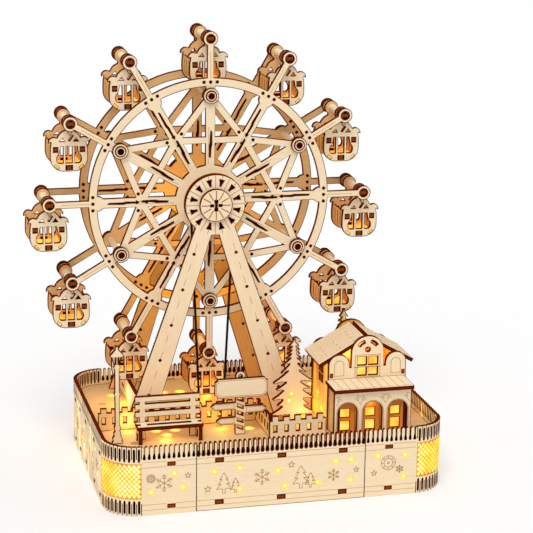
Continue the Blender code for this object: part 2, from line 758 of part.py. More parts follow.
def make_gondolas():
    first = None
    for index in range(GONDOLA_COUNT):
        name = f"gondola_{index + 1:02d}"
        across, up = clock_point(RING_CIRCLE, index * math.tau / GONDOLA_COUNT)
        at = (WHEEL_X + across, WHEEL_FRONT_Y, WHEEL_Z + up)
        if first is None:
            first = add_object(name, gondola_mesh(), WOOD, at, "front")
        else:
            copy = bpy.data.objects.new(name, first.data.copy())
            copy.location = Vector(at) * MM
            colour, roughness, metallic = WOOD
            copy.data.materials[0] = material(name, colour, roughness, metallic)
            bpy.context.scene.collection.objects.link(copy)


# Drive
def make_belt():
    """A round cord that runs over the hub pulley and down to the motor pulley."""
    top = HUB_GROOVE_RADIUS + GAP + CORD_RADIUS
    low = MOTOR_GROOVE_RADIUS + GAP + CORD_RADIUS
    lean = math.asin((top - low) / (WHEEL_Z - MOTOR_Z))
    path = arc_points(0.0, WHEEL_Z, top, -lean, math.pi + lean, 13)
    path += arc_points(0.0, MOTOR_Z, low, math.pi + lean, math.tau - lean, 7)
    mesh = bmesh.new()
    rings = []
    count = len(path)
    for index, (u, v) in enumerate(path):
        before, after = Vector(path[index - 1]), Vector(path[(index + 1) % count])
        along = ((after - Vector((u, v))).normalized() + (Vector((u, v)) - before).normalized())
        along.normalize()
        side = Vector((along.y, -along.x))
        ring = []
        for corner in range(5):
            angle = math.tau * corner / 5
            reach = side * CORD_RADIUS * math.cos(angle)
            ring.append(mesh.verts.new((u + reach.x, CORD_RADIUS * math.sin(angle), v + reach.y)))
        rings.append(ring)
    for index in range(count):
        bmesh.ops.bridge_loops(mesh, edges=ring_edges(mesh, rings[index], rings[(index + 1) % count]))
    return add_object("drive_belt", mesh, RUBBER, (WHEEL_X, BELT_Y, 0.0))


def ring_edges(mesh, *rings):
    edges = []
    for ring in rings:
        for a, b in zip(ring, ring[1:] + ring[:1]):
            edges.append(mesh.edges.get((a, b)) or mesh.edges.new((a, b)))
    return edges


def make_motor():
    """A geared motor on its mounting plate, and the pulley on its shaft."""
    mount_y = BELT_Y + GROOVE_WIDTH / 2 + FLANGE_THICKNESS + 2.0
    body_start = mount_y + PLY
    half = MOUNT_PLATE_WIDTH / 2
    base = MOTOR_Z - BOTTOM_TOP - GAP
    holder = [box_outline(-half, -base, half, MOTOR_RADIUS + 3.0)]
    well = [circle_outline(0.0, 0.0, bore(MOTOR_SHAFT_RADIUS, RUN, 8), 8)]
    can = [circle_outline(0.0, 0.0, MOTOR_RADIUS, 12)]
    layers = [(mount_y, body_start, holder, well),
              (body_start, body_start + MOTOR_WELL, can, well),
              (body_start + MOTOR_WELL, body_start + MOTOR_LENGTH, can, [])]
    add_object("motor", layered_mesh(layers), STEEL, (WHEEL_X, 0.0, MOTOR_Z), "front")
    shaft_end = body_start + MOTOR_WELL - GAP - BELT_Y
    shaft = circle_outline(0.0, 0.0, MOTOR_SHAFT_RADIUS, 8)
    pulley("motor_pulley", MOTOR_GROOVE_RADIUS, MOTOR_FLANGE_RADIUS, [], shaft, shaft_end,
           (WHEEL_X, BELT_Y, MOTOR_Z))


def make_electrics():
    width, depth, height = BATTERY_SIZE
    at = (BATTERY_X, BATTERY_Y, BOTTOM_TOP + GAP)
    box = [box_outline(-width / 2, -depth / 2, width / 2, depth / 2)]
    cells = [box_outline(-width / 2 + 2, d - 7.5, width / 2 - 2, d + 7.5) for d in (-16, 0, 16)]
    layers = [(0.0, 2.0, box, []), (2.0, height, box, cells)]
    add_object("battery_box", layered_mesh(layers), PLASTIC, at, "flat")
    width, depth, height = SWITCH_BODY
    wall = BACK_FACE - PLY
    case = [box_outline(-width / 2, -height / 2, width / 2, height / 2)]
    reach = LEVER_SIZE[0] / 2 + LEVER_TRAVEL / 2 + GAP
    rise = LEVER_SIZE[1] / 2 + GAP
    well = [box_outline(-reach, -rise, reach, rise)]
    layers = [(-depth, -4.0, case, []), (-4.0, 0.0, case, well)]
    at = (SWITCH_X, wall - GAP, SWITCH_Z)
    add_object("switch_case", layered_mesh(layers), PLASTIC, at, "front")
    lever = [box_outline(-LEVER_SIZE[0] / 2, -LEVER_SIZE[1] / 2, LEVER_SIZE[0] / 2,
                         LEVER_SIZE[1] / 2)]
    start = wall - GAP - 4.0 + GAP
    length = BACK_FACE + LEVER_REACH - start
    at = (SWITCH_X - LEVER_TRAVEL / 2, start, SWITCH_Z)
    plate("switch_lever", lever, [], at, "front", PLASTIC, length)


# House
def four_panes(cu, cv, width, height, bar=1.6):
    """The openings of a window with two by two panes."""
    panes = []
    for su in (-1, 1):
        for sv in (-1, 1):
            u0, u1 = sorted((cu + su * bar / 2, cu + su * width / 2))
            v0, v1 = sorted((cv + sv * bar / 2, cv + sv * height / 2))
            panes.append(box_outline(u0, v0, u1, v1))
    return panes


def house_facade(name, y):
    half = HOUSE_WIDTH / 2
    arch = 14.0
    crown = arc_points(0.0, RIDGE_HEIGHT - arch, arch, 0.0, math.pi, 9)
    middle = [(-arch, 40.0), (arch, 40.0)] + crown
    side_radius = SIDE_ARCH_RADIUS
    centre = half - side_radius
    shoulder = arc_points(centre, EAVE_HEIGHT - side_radius - 0.5, side_radius, 0.0, math.pi, 7)
    side = [(centre - side_radius, 30.0), (half, 30.0)] + shoulder
    body = box_outline(-half, 0.0, half, EAVE_HEIGHT - side_radius - 3.0)
    cuts = four_panes(0.0, 53.2, 17.5, 16.0)
    cuts.append(circle_outline(0.0, 67.3, 2.2, 8))
    for low, high in ((0.45, 1.25), (math.pi - 1.25, math.pi - 0.45)):
        outer = arc_points(0.0, RIDGE_HEIGHT - arch, 10.5, low, high, 3)
        cuts.append(outer + arc_points(0.0, RIDGE_HEIGHT - arch, 8.0, high, low, 3))
    for centre_u in PORCH_CENTRES:
        cuts.append(box_outline(centre_u - 4.2, 6.0, centre_u + 4.2, 15.0))
        cuts.append(box_outline(centre_u - 4.2, 17.0, centre_u + 4.2, 25.0))
    at = (HOUSE_X, y, DECK_TOP + GAP)
    return plate(name, [body, middle, side, mirrored(side)], cuts, at, "front")


PORCH_CENTRES = (-21.3, 0.0, 21.3)


def make_house():
    house_facade("house_front", HOUSE_Y)
    house_facade("house_back", HOUSE_Y + HOUSE_DEPTH - PLY)
    inner = HOUSE_DEPTH - 2 * PLY - 2 * GAP
    wall_height = EAVE_HEIGHT - EAVE_TO_WALL
    for name, side in (("house_side_left", -1), ("house_side_right", 1)):
        u = HOUSE_X + side * (HOUSE_WIDTH / 2 - HOUSE_WALL_INSET - PLY / 2) - PLY / 2
        at = (u, HOUSE_Y + PLY + GAP, DECK_TOP + GAP)
        plate(name, [box_outline(0.0, 0.0, inner, wall_height)],
              four_panes(inner / 2, 41.6, 12.0, 15.0), at, "side")
    make_roof()
    make_porch()


def make_roof():
    """Two boards that lie between the facades' arches and meet at the ridge."""
    depth = HOUSE_DEPTH - 2 * PLY - 2 * GAP
    start = HOUSE_Y + PLY + GAP
    for name, side in (("house_roof_left", -1), ("house_roof_right", 1)):
        board = [box_outline(0.5, 0.0, ROOF_LENGTH, depth)]
        mesh = layered_mesh([(0.0, PLY, board, [])])
        if side < 0:
            bmesh.ops.scale(mesh, vec=(-1, 1, 1), verts=mesh.verts)
        at = (HOUSE_X, start, DECK_TOP + RIDGE_HEIGHT - 3.5)
        add_object(name, mesh, WOOD, at, None, (0.0, side * ROOF_SLOPE, 0.0))


def make_porch():
    half = PORCH_WIDTH / 2
    y = HOUSE_Y - PORCH_DEPTH
    cuts = []
    radius = PORCH_ARCH / 2
    for centre in PORCH_CENTRES:
        crown = arc_points(centre, 30.5 - radius, radius, 0.0, math.pi, 7)
        cuts.append([(centre - radius, 2.5), (centre + radius, 2.5)] + crown)
    at = (HOUSE_X - PORCH_SHIFT, y, DECK_TOP + GAP)
    plate("porch_front", [box_outline(-half, 0.0, half, PORCH_HEIGHT)], cuts, at, "front")
    for name, side in (("porch_side_left", -1), ("porch_side_right", 1)):
        u = HOUSE_X - PORCH_SHIFT + side * (half - 4.0) - PLY / 2
        depth = PORCH_DEPTH - PLY - 2 * GAP
        at = (u, y + PLY + GAP, DECK_TOP + GAP)
        plate(name, [box_outline(0.0, 0.0, depth, PORCH_HEIGHT)], [], at, "side")
    at = (HOUSE_X - PORCH_SHIFT, y - ROOF_OVERHANG, DECK_TOP + GAP + PORCH_HEIGHT + GAP)
    length = PORCH_DEPTH + ROOF_OVERHANG - GAP
    plate("porch_roof", [box_outline(-half - 1.0, 0.0, half + 1.0, length)], [], at, "flat")


# Scenery
def tree_outline(height, half):
    """A fir with drooping boughs that narrow to the top."""
    right = [(TRUNK_WIDTH / 2, 0.0), (TRUNK_WIDTH / 2, TRUNK_HEIGHT)]
    tiers = 4
    for tier in range(tiers):
        reach = half * (1.0 - tier / tiers * 0.82)
        low = TRUNK_HEIGHT + (height - TRUNK_HEIGHT) * tier / tiers
        rise = (height - TRUNK_HEIGHT) / tiers
        right += [(reach, low - rise * 0.12), (reach * 0.45, low + rise * 0.75)]
    right.append((0.0, height))
    return right + mirrored(right)[1:]


def make_trees():
    for index, (x, y, height, half) in enumerate(TREES):
        outline = [tree_outline(height, half)]
        at = (x, y, DECK_TOP + GAP)
        facing = layered_mesh([(-PLY / 2, PLY / 2, outline, [])])
        crossing = layered_mesh([(-PLY / 2, PLY / 2, outline, [])])
        pieces = [add_object("tree", facing, WOOD, at, "front"),
                  add_object("tree_cross", crossing, WOOD, at, "side")]
        fuse(f"tree_{index + 1}", pieces)


def make_lamp():
    stem = LAMP_STEM / 2
    head = LAMP_HEIGHT - LAMP_HEAD_HEIGHT
    right = [(LAMP_FOOT, 0.0), (LAMP_FOOT, PLY), (stem, LAMP_FOOT + PLY - 0.2),
             (stem, head - LAMP_HEAD_HEIGHT), (LAMP_HEAD - 1.2, head), (LAMP_HEAD, head + 1.0),
             (0.0, LAMP_HEIGHT)]
    outline = [right + [(-u, v) for u, v in reversed(right[:-1])]]
    at = (LAMP_X, LAMP_Y, DECK_TOP + GAP)
    facing = layered_mesh([(-PLY / 2, PLY / 2, outline, [])])
    crossing = layered_mesh([(-PLY / 2, PLY / 2, outline, [])])
    pieces = [add_object("lamp", facing, WOOD, at, "front"),
              add_object("lamp_cross", crossing, WOOD, at, "side")]
    fuse("lamp_post", pieces)


def fence(name, length, at, turn):
    """A low board with merlons and a window below each."""
    count = int(length / FENCE_PITCH)
    pitch = length / count
    body = [box_outline(0.0, 0.0, length, FENCE_HEIGHT - MERLON)]
    cuts = []
    for index in range(count):
        u = (index + 0.5) * pitch
        body.append(box_outline(u - pitch * 0.28, FENCE_HEIGHT - MERLON - 1.0,
                                u + pitch * 0.28, FENCE_HEIGHT))
        if index % 2 == 0:
            cuts.append(box_outline(u - 1.6, 5.0, u + 1.6, 10.5))
    return plate(name, body, cuts, at, turn)


def make_fences():
    low = DECK_TOP + GAP
    right = HOUSE_X - HOUSE_WIDTH / 2 - 4.5
    fence("fence_row", FENCE_CORNER_X - FENCE_ROW_LEFT, (FENCE_ROW_LEFT, FENCE_ROW_Y, low), "front")
    fence("fence_front", right - FENCE_CORNER_X, (FENCE_CORNER_X, FENCE_FRONT_Y, low), "front")
    start = FENCE_FRONT_Y + PLY + GAP
    fence("fence_side", FENCE_ROW_Y + PLY - start, (FENCE_CORNER_X + GAP, start, low), "side")


def make_bench():
    low = DECK_TOP + GAP
    half = BENCH_WIDTH / 2
    seat = BENCH_SEAT_HEIGHT
    top = BENCH_HEIGHT - BENCH_BOARD
    slats = [box_outline(-half, v, half, v + BENCH_BOARD) for v in (top - 12.9, top - 6.4, top)]
    legs = (-half + BENCH_LEG_INSET, half - BENCH_LEG_INSET)
    stiles = [box_outline(u - 2.5, 0.0, u + 2.5, BENCH_HEIGHT) for u in legs]
    back_y = BENCH_Y + BENCH_DEPTH - PLY
    plate("bench_back", slats + stiles, [], (BENCH_X, back_y, low), "front")
    seat_depth = BENCH_DEPTH - PLY - GAP
    boards = [box_outline(-half, v, half, v + 4.4) for v in (0.0, seat_depth - 4.4)]
    cross = [box_outline(u - 3.0, 0.5, u + 3.0, seat_depth - 0.5) for u in legs]
    plate("bench_seat", boards + cross, [], (BENCH_X, BENCH_Y, low + seat - PLY), "flat")
    for name, side in (("bench_side_left", -1), ("bench_side_right", 1)):
        reach = BENCH_DEPTH - PLY - GAP
        top = seat - PLY - GAP
        body = [box_outline(0.0, top - 4.0, reach, top), box_outline(0.0, 0.0, 3.6, top - 1.0),
                box_outline(reach - 3.6, 0.0, reach, top - 1.0)]
        at = (BENCH_X + side * (half - BENCH_SIDE_INSET) - PLY / 2, BENCH_Y, low)
        plate(name, body, [], at, "side")


def make_sign():
    low = DECK_TOP + GAP
    at = (SIGN_X, SIGN_Y, low)
    half, height = SIGN_POST_HALF, SIGN_HEIGHT
    post = box_outline(-half, 0.0, half, height - SIGN_HEAD_RADIUS + 0.2)
    cuts = []
    for index in range(5):
        v = 4.0 + index * 6.2
        cuts.append([(-2.4, v + 2.0), (2.4, v), (2.4, v + 2.6), (-2.4, v + 4.6)])
    head = circle_outline(0.0, height, SIGN_HEAD_RADIUS, 12)
    eye = circle_outline(0.0, height, SIGN_HEAD_RADIUS / 3, 8)
    arrows = []
    middle = height / 2
    for v, length, side in ((middle - 0.5, ARROW_LEFT, -1), (middle - 4.0, ARROW_RIGHT, 1),
                            (middle - 13.0, ARROW_LOW, -1)):
        neck = length - ARROW_HALF - 0.4
        arrow = [(half - 1, v - ARROW_HALF), (neck, v - ARROW_HALF), (length, v),
                 (neck, v + ARROW_HALF), (half - 1, v + ARROW_HALF)]
        arrows.append(arrow if side > 0 else mirrored(arrow))
    plate("sign_post", [post, head] + arrows, cuts + [eye], at, "front")
    board_half, board_low, notch = SIGN_BOARD_HALF, SIGN_BOARD_LOW, SIGN_NOTCH
    board_high = board_low + SIGN_BOARD_HEIGHT
    corner = [(board_half - notch, board_low), (board_half - notch, board_low + notch),
              (board_half, board_low + notch), (board_half, board_high - notch),
              (board_half - notch, board_high - notch), (board_half - notch, board_high)]
    outline = corner + mirrored(corner)
    plate("sign_board", [outline], [], (SIGN_X, SIGN_Y - PLY - GAP, low), "front")


def main():
    for old in list(bpy.data.objects):
        bpy.data.objects.remove(old)
    make_base()
    make_frames()
    make_wheel()
    make_gondolas()
    make_belt()
    make_motor()
    make_electrics()
    make_house()
    make_trees()
    make_lamp()
    make_fences()
    make_bench()
    make_sign()


main()
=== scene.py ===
# %% [markdown]
# A tabletop ferris wheel made of laser-cut birch plywood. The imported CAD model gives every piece
# its place, and this notebook gives the pieces their look: pale faces with burnt edges, engraved
# lines, fine cuts and warm light. Each step first says what the real piece is and how it is made.

# %% Load the frame
import math

import bpy
import numpy as np
from mathutils import Matrix, Vector
from mathutils.geometry import delaunay_2d_cdt


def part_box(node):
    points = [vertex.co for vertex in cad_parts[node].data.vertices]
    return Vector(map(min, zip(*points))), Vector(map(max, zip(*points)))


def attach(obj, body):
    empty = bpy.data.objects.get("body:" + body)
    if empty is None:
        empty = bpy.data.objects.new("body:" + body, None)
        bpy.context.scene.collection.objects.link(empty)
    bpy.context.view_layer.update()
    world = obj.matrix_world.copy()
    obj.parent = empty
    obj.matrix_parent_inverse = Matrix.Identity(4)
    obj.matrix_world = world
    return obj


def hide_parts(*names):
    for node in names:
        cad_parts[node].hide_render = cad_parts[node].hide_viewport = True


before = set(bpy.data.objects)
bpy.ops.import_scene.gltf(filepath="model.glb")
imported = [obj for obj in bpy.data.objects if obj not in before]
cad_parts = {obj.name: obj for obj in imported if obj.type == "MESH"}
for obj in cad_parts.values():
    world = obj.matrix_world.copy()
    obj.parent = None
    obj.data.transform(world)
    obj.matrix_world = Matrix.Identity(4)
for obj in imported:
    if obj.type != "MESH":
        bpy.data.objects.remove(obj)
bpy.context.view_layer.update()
MM = 0.001

# %% [markdown]
# The camera comes first, at the photograph's angle. It looks down on the model from the left, with
# a long lens, and it leans by less than a degree.

# %% Camera
EYE = Vector((-0.34857, -1.29864, 0.55221))
YAW, PITCH, ROLL = 0.25183, -0.25912, 0.01404
bpy.ops.object.camera_add(location=EYE)
camera = bpy.context.object
forward = Vector((math.sin(YAW) * math.cos(PITCH), math.cos(YAW) * math.cos(PITCH),
                  math.sin(PITCH)))
level = Vector((math.cos(YAW), -math.sin(YAW), 0.0))
upward = level.cross(forward)
camera_x = level * math.cos(ROLL) + upward * math.sin(ROLL)
camera_y = upward * math.cos(ROLL) - level * math.sin(ROLL)
turned = Matrix((camera_x, camera_y, -forward)).transposed()
camera.matrix_world = Matrix.Translation(EYE) @ turned.to_4x4()
camera.data.lens = 121.757
camera.data.sensor_width = 36.0
bpy.context.scene.camera = camera
print("Camera lens:", camera.data.lens)

# %% [markdown]
# Sizes of the plywood stock and of the main pieces, in millimetres, as the CAD model has them.

# %% Sizes
PLY, GAP = 3.0, 0.3
BASE_WIDTH, BASE_DEPTH = 280.0, 202.5
CORNER_RADIUS = 27.0
WALL_HEIGHT = 57.0
BOTTOM_TOP, DECK_TOP = 8.1, 43.3
PANEL_WIDTH = 138.6
BACK_FACE = BASE_DEPTH - PLY / 2
FLAT_HALF = BASE_WIDTH / 2 - CORNER_RADIUS
SIDE_START, SIDE_END = CORNER_RADIUS - PLY / 2, BACK_FACE - CORNER_RADIUS
SIDE_MIDDLE = (SIDE_START + SIDE_END) / 2
STANDING = DECK_TOP + GAP

WHEEL_X, WHEEL_Z = -34.0, 225.4
WHEEL_FRONT_Y, WHEEL_BACK_Y = 113.4, 164.2
FRAME_FRONT_Y, FRAME_BACK_Y = 92.9, 181.9
RING_CIRCLE, RIM_RADIUS, BOSS_CIRCLE, STAR_RADIUS = 132.0, 97.0, 86.0, 57.0
GONDOLA_COUNT = 12
STEP = math.tau / GONDOLA_COUNT
HUB_HOLE, RING_DISC, RING_HALF, BOSS_HALF = 5.3, 5.8, 6.1, 6.5
PIN_PLUG, PLUG_DEPTH = 0.95, (-1.0, -0.2)
print("Wheel over its rings:", 2 * (RING_CIRCLE + RING_HALF), "mm")

# %% [markdown]
# Birch faces are pale and warm, with fine streaks along the grain. One node group makes the
# streaks, and each material gives it its own direction and colours. Object coordinates in metres
# keep the streaks at their real size, about a millimetre wide and a few centimetres long.

# %% Node helpers and the birch grain
def feed(node, feeds):
    """Fill a node's inputs: a socket is linked, a colour has three numbers, the rest are values."""
    for key, value in feeds.items():
        socket = node.inputs[key]
        if isinstance(value, bpy.types.NodeSocket):
            node.id_data.links.new(value, socket)
        else:
            socket.default_value = (*value, 1.0) if socket.type == "RGBA" else value


def add_node(tree, kind, feeds=(), out=0, **settings):
    """Add a node with its settings and inputs, and give back one of its outputs."""
    node = tree.nodes.new("ShaderNode" + kind)
    for key, value in settings.items():
        setattr(node, key, value)
    feed(node, dict(feeds))
    return node.outputs[out]


def add_noise(tree, scale, detail, stretch=None):
    """Noise in object coordinates, stretched along an axis where the look needs it."""
    spot = add_node(tree, "TexCoord", out="Object")
    if stretch is not None:
        spot = add_node(tree, "VectorMath", {0: spot, 1: stretch}, operation="MULTIPLY")
    return add_node(tree, "TexNoise", {"Vector": spot, "Scale": scale, "Detail": detail})


def add_ramp(tree, factor, stops):
    """A colour ramp. The stops are (place, colour)."""
    colour = add_node(tree, "ValToRGB", {"Fac": factor})
    elements = colour.node.color_ramp.elements
    elements.remove(elements[1])
    for index, (place, shade) in enumerate(stops):
        stop = elements.new(place) if index else elements[0]
        stop.position, stop.color = place, (*shade, 1.0)
    return colour


def new_group(name, inputs, outputs):
    """An empty node group with its input node and its output node."""
    group = bpy.data.node_groups.new(name, "ShaderNodeTree")
    for in_out, sockets in (("INPUT", inputs), ("OUTPUT", outputs)):
        for label, kind in sockets.items():
            group.interface.new_socket(label, in_out=in_out, socket_type="NodeSocket" + kind)
    return group, group.nodes.new("NodeGroupInput"), group.nodes.new("NodeGroupOutput")


def new_material(name, feeds):
    """A new material with its node tree and its shader."""
    made = bpy.data.materials.new(name)
    made.use_nodes = True
    shader = made.node_tree.nodes["Principled BSDF"]
    feed(shader, feeds)
    return made, made.node_tree, shader


GRAIN_AMOUNT = 0.4
grain, given, result = new_group(
    "Birch grain", {"Stretch": "Vector", "Pale": "Color", "Streak": "Color"},
    {"Color": "Color", "Height": "Float"})
stretch = given.outputs["Stretch"]
fine, broad = add_noise(grain, 1.0, 4.0, stretch), add_noise(grain, 0.16, 2.0, stretch)
streaks = add_ramp(grain, fine, ((0.42, (0.0, 0.0, 0.0)), (0.72, (1.0, 1.0, 1.0))))
cloud = add_node(grain, "Math", {0: broad, 1: 0.7}, operation="MULTIPLY")
total = add_node(grain, "Math", {0: streaks, 1: cloud}, operation="ADD")
amount = add_node(grain, "Math", {0: total, 1: GRAIN_AMOUNT}, operation="MULTIPLY",
                  use_clamp=True)
mixed = add_node(grain, "Mix", {"Factor": amount, "A": given.outputs["Pale"],
                                "B": given.outputs["Streak"]}, "Result", data_type="RGBA")
feed(result, {"Height": fine, "Color": mixed})
print("Grain group inputs:", [s.name for s in given.outputs if s.name])

# %% [markdown]
# The laser burns each cut edge to a dark red-brown, a little lighter where the glue lines and the
# middle ply show. The pieces carry a "layer" attribute that runs from 0 to 1 through the sheet,
# and the edge material reads it for its stripes. Engraved lines are the same burn, only thinner.
# Faces that look inward, between the sides of the wheel and inside the cabins, and pieces that
# stand in the model's shade, get a deeper honey copy of the birch: painted shade and painted warm
# light, where warm light and light thrown back from other wood fall on them. A deeper amber copy is
# the same painted shade and warm light inside the cabins and the house, and the honey copy is also
# painted orange in pools near the bulbs.

# %% Wood materials
GRAIN_ALONG = {"x": (60.0, 950.0, 950.0), "y": (950.0, 60.0, 950.0), "z": (950.0, 950.0, 60.0)}
BIRCH_PALE, BIRCH_STREAK = (0.93, 0.755, 0.51), (0.84, 0.62, 0.36)
HONEY_PALE, HONEY_STREAK = (0.80, 0.54, 0.25), (0.68, 0.41, 0.15)
AMBER_PALE, AMBER_STREAK = (0.84, 0.42, 0.06), (0.70, 0.30, 0.03)
# Pools of painted warm light near the model's bulbs: centre, reach and strength.
WARM_POOLS = (((-34, 150, 222), 62, 0.7), ((-34, 130, 60), 92, 0.75), ((-34, 150, 130), 92, 0.9),
              ((40, 96, 52), 62, 0.9), ((-92, 128, 62), 60, 0.6), ((82, 66, 85), 60, 0.8))


def birch_face(name, along, pale=BIRCH_PALE, streak=BIRCH_STREAK):
    made, tree, shader = new_material(name, {"Roughness": 0.62})
    colour = add_node(tree, "Group", {"Stretch": GRAIN_ALONG[along], "Pale": pale,
                                      "Streak": streak}, "Color", node_tree=grain)
    bump = add_node(tree, "Bump", {"Height": colour.node.outputs["Height"], "Strength": 0.12,
                                   "Distance": 0.0002})
    feed(shader, {"Base Color": colour, "Normal": bump})
    return made


def burnt_wood(name, *stops):
    """Burnt wood with stripes through the sheet. The stops are (place, colour)."""
    made, tree, shader = new_material(name, {"Roughness": 0.8, "Specular IOR Level": 0.0})
    layer = add_node(tree, "Attribute", out="Fac", attribute_name="layer")
    tone = add_node(tree, "MapRange", {"Value": add_noise(tree, 420.0, 3.0), "To Min": 0.75,
                                       "To Max": 1.25})
    shaded = add_node(tree, "VectorMath", {0: add_ramp(tree, layer, stops), "Scale": tone},
                      operation="SCALE")
    feed(shader, {"Base Color": shaded})
    return made


pools, _, mask = new_group("Warm pools", {}, {"Mask": "Float"})
spot = add_node(pools, "TexCoord", out="Object")
warmest = 0.0
for centre, reach, full in WARM_POOLS:
    away = add_node(pools, "VectorMath", {0: spot, 1: [c * MM for c in centre]}, "Value",
                    operation="DISTANCE")
    near = add_node(pools, "MapRange", {"Value": away, "From Min": reach * MM,
                                        "From Max": reach * MM * 0.25, "To Max": full},
                    interpolation_type="SMOOTHSTEP")
    warmest = add_node(pools, "Math", {0: warmest, 1: near}, operation="MAXIMUM")
feed(mask, {"Mask": warmest})


def warmed(made):
    """Blend a face material towards orange where the model's own light falls on it."""
    tree = made.node_tree
    shader = tree.nodes["Principled BSDF"]
    plain = shader.inputs["Base Color"].links[0].from_socket
    share = add_node(tree, "Math", {0: add_node(tree, "Group", node_tree=pools), 1: 0.9},
                     operation="MULTIPLY")
    blend = add_node(tree, "Mix", {"Factor": share, "A": plain, "B": (0.86, 0.42, 0.035)},
                     "Result", data_type="RGBA")
    feed(shader, {"Base Color": blend})
    return made


BIRCH = {axis: birch_face(f"Birch face, grain along {axis}", axis) for axis in "xyz"}
HONEY = {axis: warmed(birch_face(f"Honey birch face, grain along {axis}", axis, HONEY_PALE,
                                 HONEY_STREAK)) for axis in "xyz"}
AMBER = {axis: birch_face(f"Amber birch face, grain along {axis}", axis, AMBER_PALE,
                          AMBER_STREAK) for axis in "xyz"}
BURNT_EDGE = burnt_wood("Burnt edge", (0.0, (0.060, 0.004, 0.001)), (0.3, (0.11, 0.010, 0.002)),
                        (0.5, (0.17, 0.020, 0.003)), (0.7, (0.11, 0.010, 0.002)),
                        (1.0, (0.060, 0.004, 0.001)))
ENGRAVED = burnt_wood("Engraved line", (0.0, (0.44, 0.22, 0.07)))
DASHED = burnt_wood("Light engraved line", (0.0, (0.60, 0.36, 0.17)))
SCORCHED = burnt_wood("Scorched rim", (0.0, (0.17, 0.036, 0.007)))
RAY = burnt_wood("Engraved ray", (0.0, (0.36, 0.13, 0.02)))
# Painted shade: a near-black colour for holes, slits and boards behind cuts, standing in for the
# shade inside them.
HOLE_SHADE = burnt_wood("Painted shade in a hole", (0.0, (0.010, 0.003, 0.002)), (1.0, (0.022, 0.006, 0.003)))
TENON = burnt_wood("Tenon end", (0.0, (0.24, 0.045, 0.008)), (1.0, (0.30, 0.06, 0.010)))
print("Wood materials:", len(bpy.data.materials))

# %% [markdown]
# The lights are warm points behind thin wood. A glowing bulb is nearly white in the middle, and
# the wood round it glows orange. Both are emission. The halo is a thin disc whose UV map runs from
# its centre, so that it fades to nothing at its rim.

# %% Light materials
def glowing(name, core, rim, strength, scale):
    """Emission that wanders between two colours, as light does inside a box."""
    made, tree, shader = new_material(name, {"Roughness": 0.6, "Base Color": (0.6, 0.3, 0.06),
                                             "Emission Strength": strength})
    noise = add_noise(tree, scale, 1.0)
    feed(shader, {"Emission Color": add_ramp(tree, noise, ((0.35, rim), (0.65, core)))})
    return made


def halo_material(name, colour, strength):
    made, tree, shader = new_material(name, {
        "Roughness": 1.0, "Base Color": (0.93, 0.58, 0.16), "Emission Strength": strength,
        "Emission Color": colour})
    reach = add_node(tree, "VectorMath", {0: add_node(tree, "TexCoord", out="UV")}, "Value",
                     operation="LENGTH")
    fade = add_node(tree, "MapRange", {"Value": reach, "To Min": 0.95, "To Max": 0.0},
                    interpolation_type="SMOOTHERSTEP")
    feed(shader, {"Alpha": add_node(tree, "Math", {0: fade, 1: 2.0}, operation="POWER")})
    return made


def lit_through(name, low, high, colour, strength, stretch, pale=None):
    """Birch with light behind it: the glow comes through in soft upright streaks."""
    made = birch_face(name, "z", pale or BIRCH_PALE, pale or BIRCH_STREAK)
    tree = made.node_tree
    amount = add_node(tree, "MapRange", {"Value": add_noise(tree, 1.0, 1.5, stretch),
                                         "From Min": low, "From Max": high},
                      interpolation_type="SMOOTHSTEP")
    shine = add_node(tree, "VectorMath", {0: colour, "Scale": amount}, operation="SCALE")
    feed(tree.nodes["Principled BSDF"], {"Emission Strength": strength, "Emission Color": shine})
    return made


LATTICE_GLOW = glowing("Glow behind the lattice", (1.0, 0.94, 0.52), (1.0, 0.80, 0.22), 1.3, 60.0)
WINDOW_GLOW = glowing("Glow behind a window", (1.0, 0.70, 0.12), (1.0, 0.38, 0.012), 1.1, 110.0)
CABIN_GLOW = glowing("Light on a cabin floor", (1.0, 0.52, 0.05), (0.9, 0.30, 0.015), 1.15, 45.0)
BULB = glowing("Lit bulb", (1.0, 0.93, 0.62), (1.0, 0.85, 0.42), 1.6, 300.0)
HALO = halo_material("Halo of a bulb", (1.0, 0.60, 0.02), 0.6)
DECK_HALO = halo_material("Halo on the deck", (1.0, 0.66, 0.08), 1.3)
LIT_NET = lit_through("Lit net of the corners", 0.30, 0.70, (1.0, 0.42, 0.012), 0.3,
                      (60.0, 60.0, 60.0), (0.62, 0.25, 0.025))
LIT_WALL = lit_through("Wall with light behind it", 0.48, 0.72, (1.0, 0.62, 0.05), 0.8,
                       (130.0, 130.0, 28.0))
HOUSE_WALL = lit_through("House wall with light behind it", 0.36, 0.66, (1.0, 0.50, 0.02), 0.55,
                         (90.0, 90.0, 14.0), (0.90, 0.50, 0.14))
print("Wood and light materials:", len(bpy.data.materials))

# %% [markdown]
# A laser-cut piece starts as a flat drawing: outlines that are kept, and outlines that are cut
# away. The drawing is filled with triangles, and then extruded to the sheet's thickness in edit
# mode, as a hand would do it. Drawing it this way keeps hundreds of small cuts exact, where a
# boolean for each would be slow.

# %% Drawing helpers
def box_outline(u0, v0, u1, v1):
    return [(u0, v0), (u1, v0), (u1, v1), (u0, v1)]


def boxes(*corners):
    return [box_outline(*box) for box in corners]


def arc_points(cu, cv, radius, start, end, count):
    angles = [start + (end - start) * i / (count - 1) for i in range(count)]
    return [(cu + radius * math.cos(a), cv + radius * math.sin(a)) for a in angles]


def circle_outline(cu, cv, radius, sides=24):
    return arc_points(cu, cv, radius, 0.0, math.tau * (sides - 1) / sides, sides)


def mirrored(outline):
    return [(-u, v) for u, v in reversed(outline)]


def moved(outline, du, dv):
    return [(u + du, v + dv) for u, v in outline]


def clock_point(radius, angle):
    """A point at an angle from straight up, clockwise as seen from the front."""
    return (radius * math.sin(angle), radius * math.cos(angle))


def turned_outline(outline, angle):
    """Turn an outline clockwise about the hub."""
    c, s = math.cos(angle), math.sin(angle)
    return [(u * c + v * s, v * c - u * s) for u, v in outline]


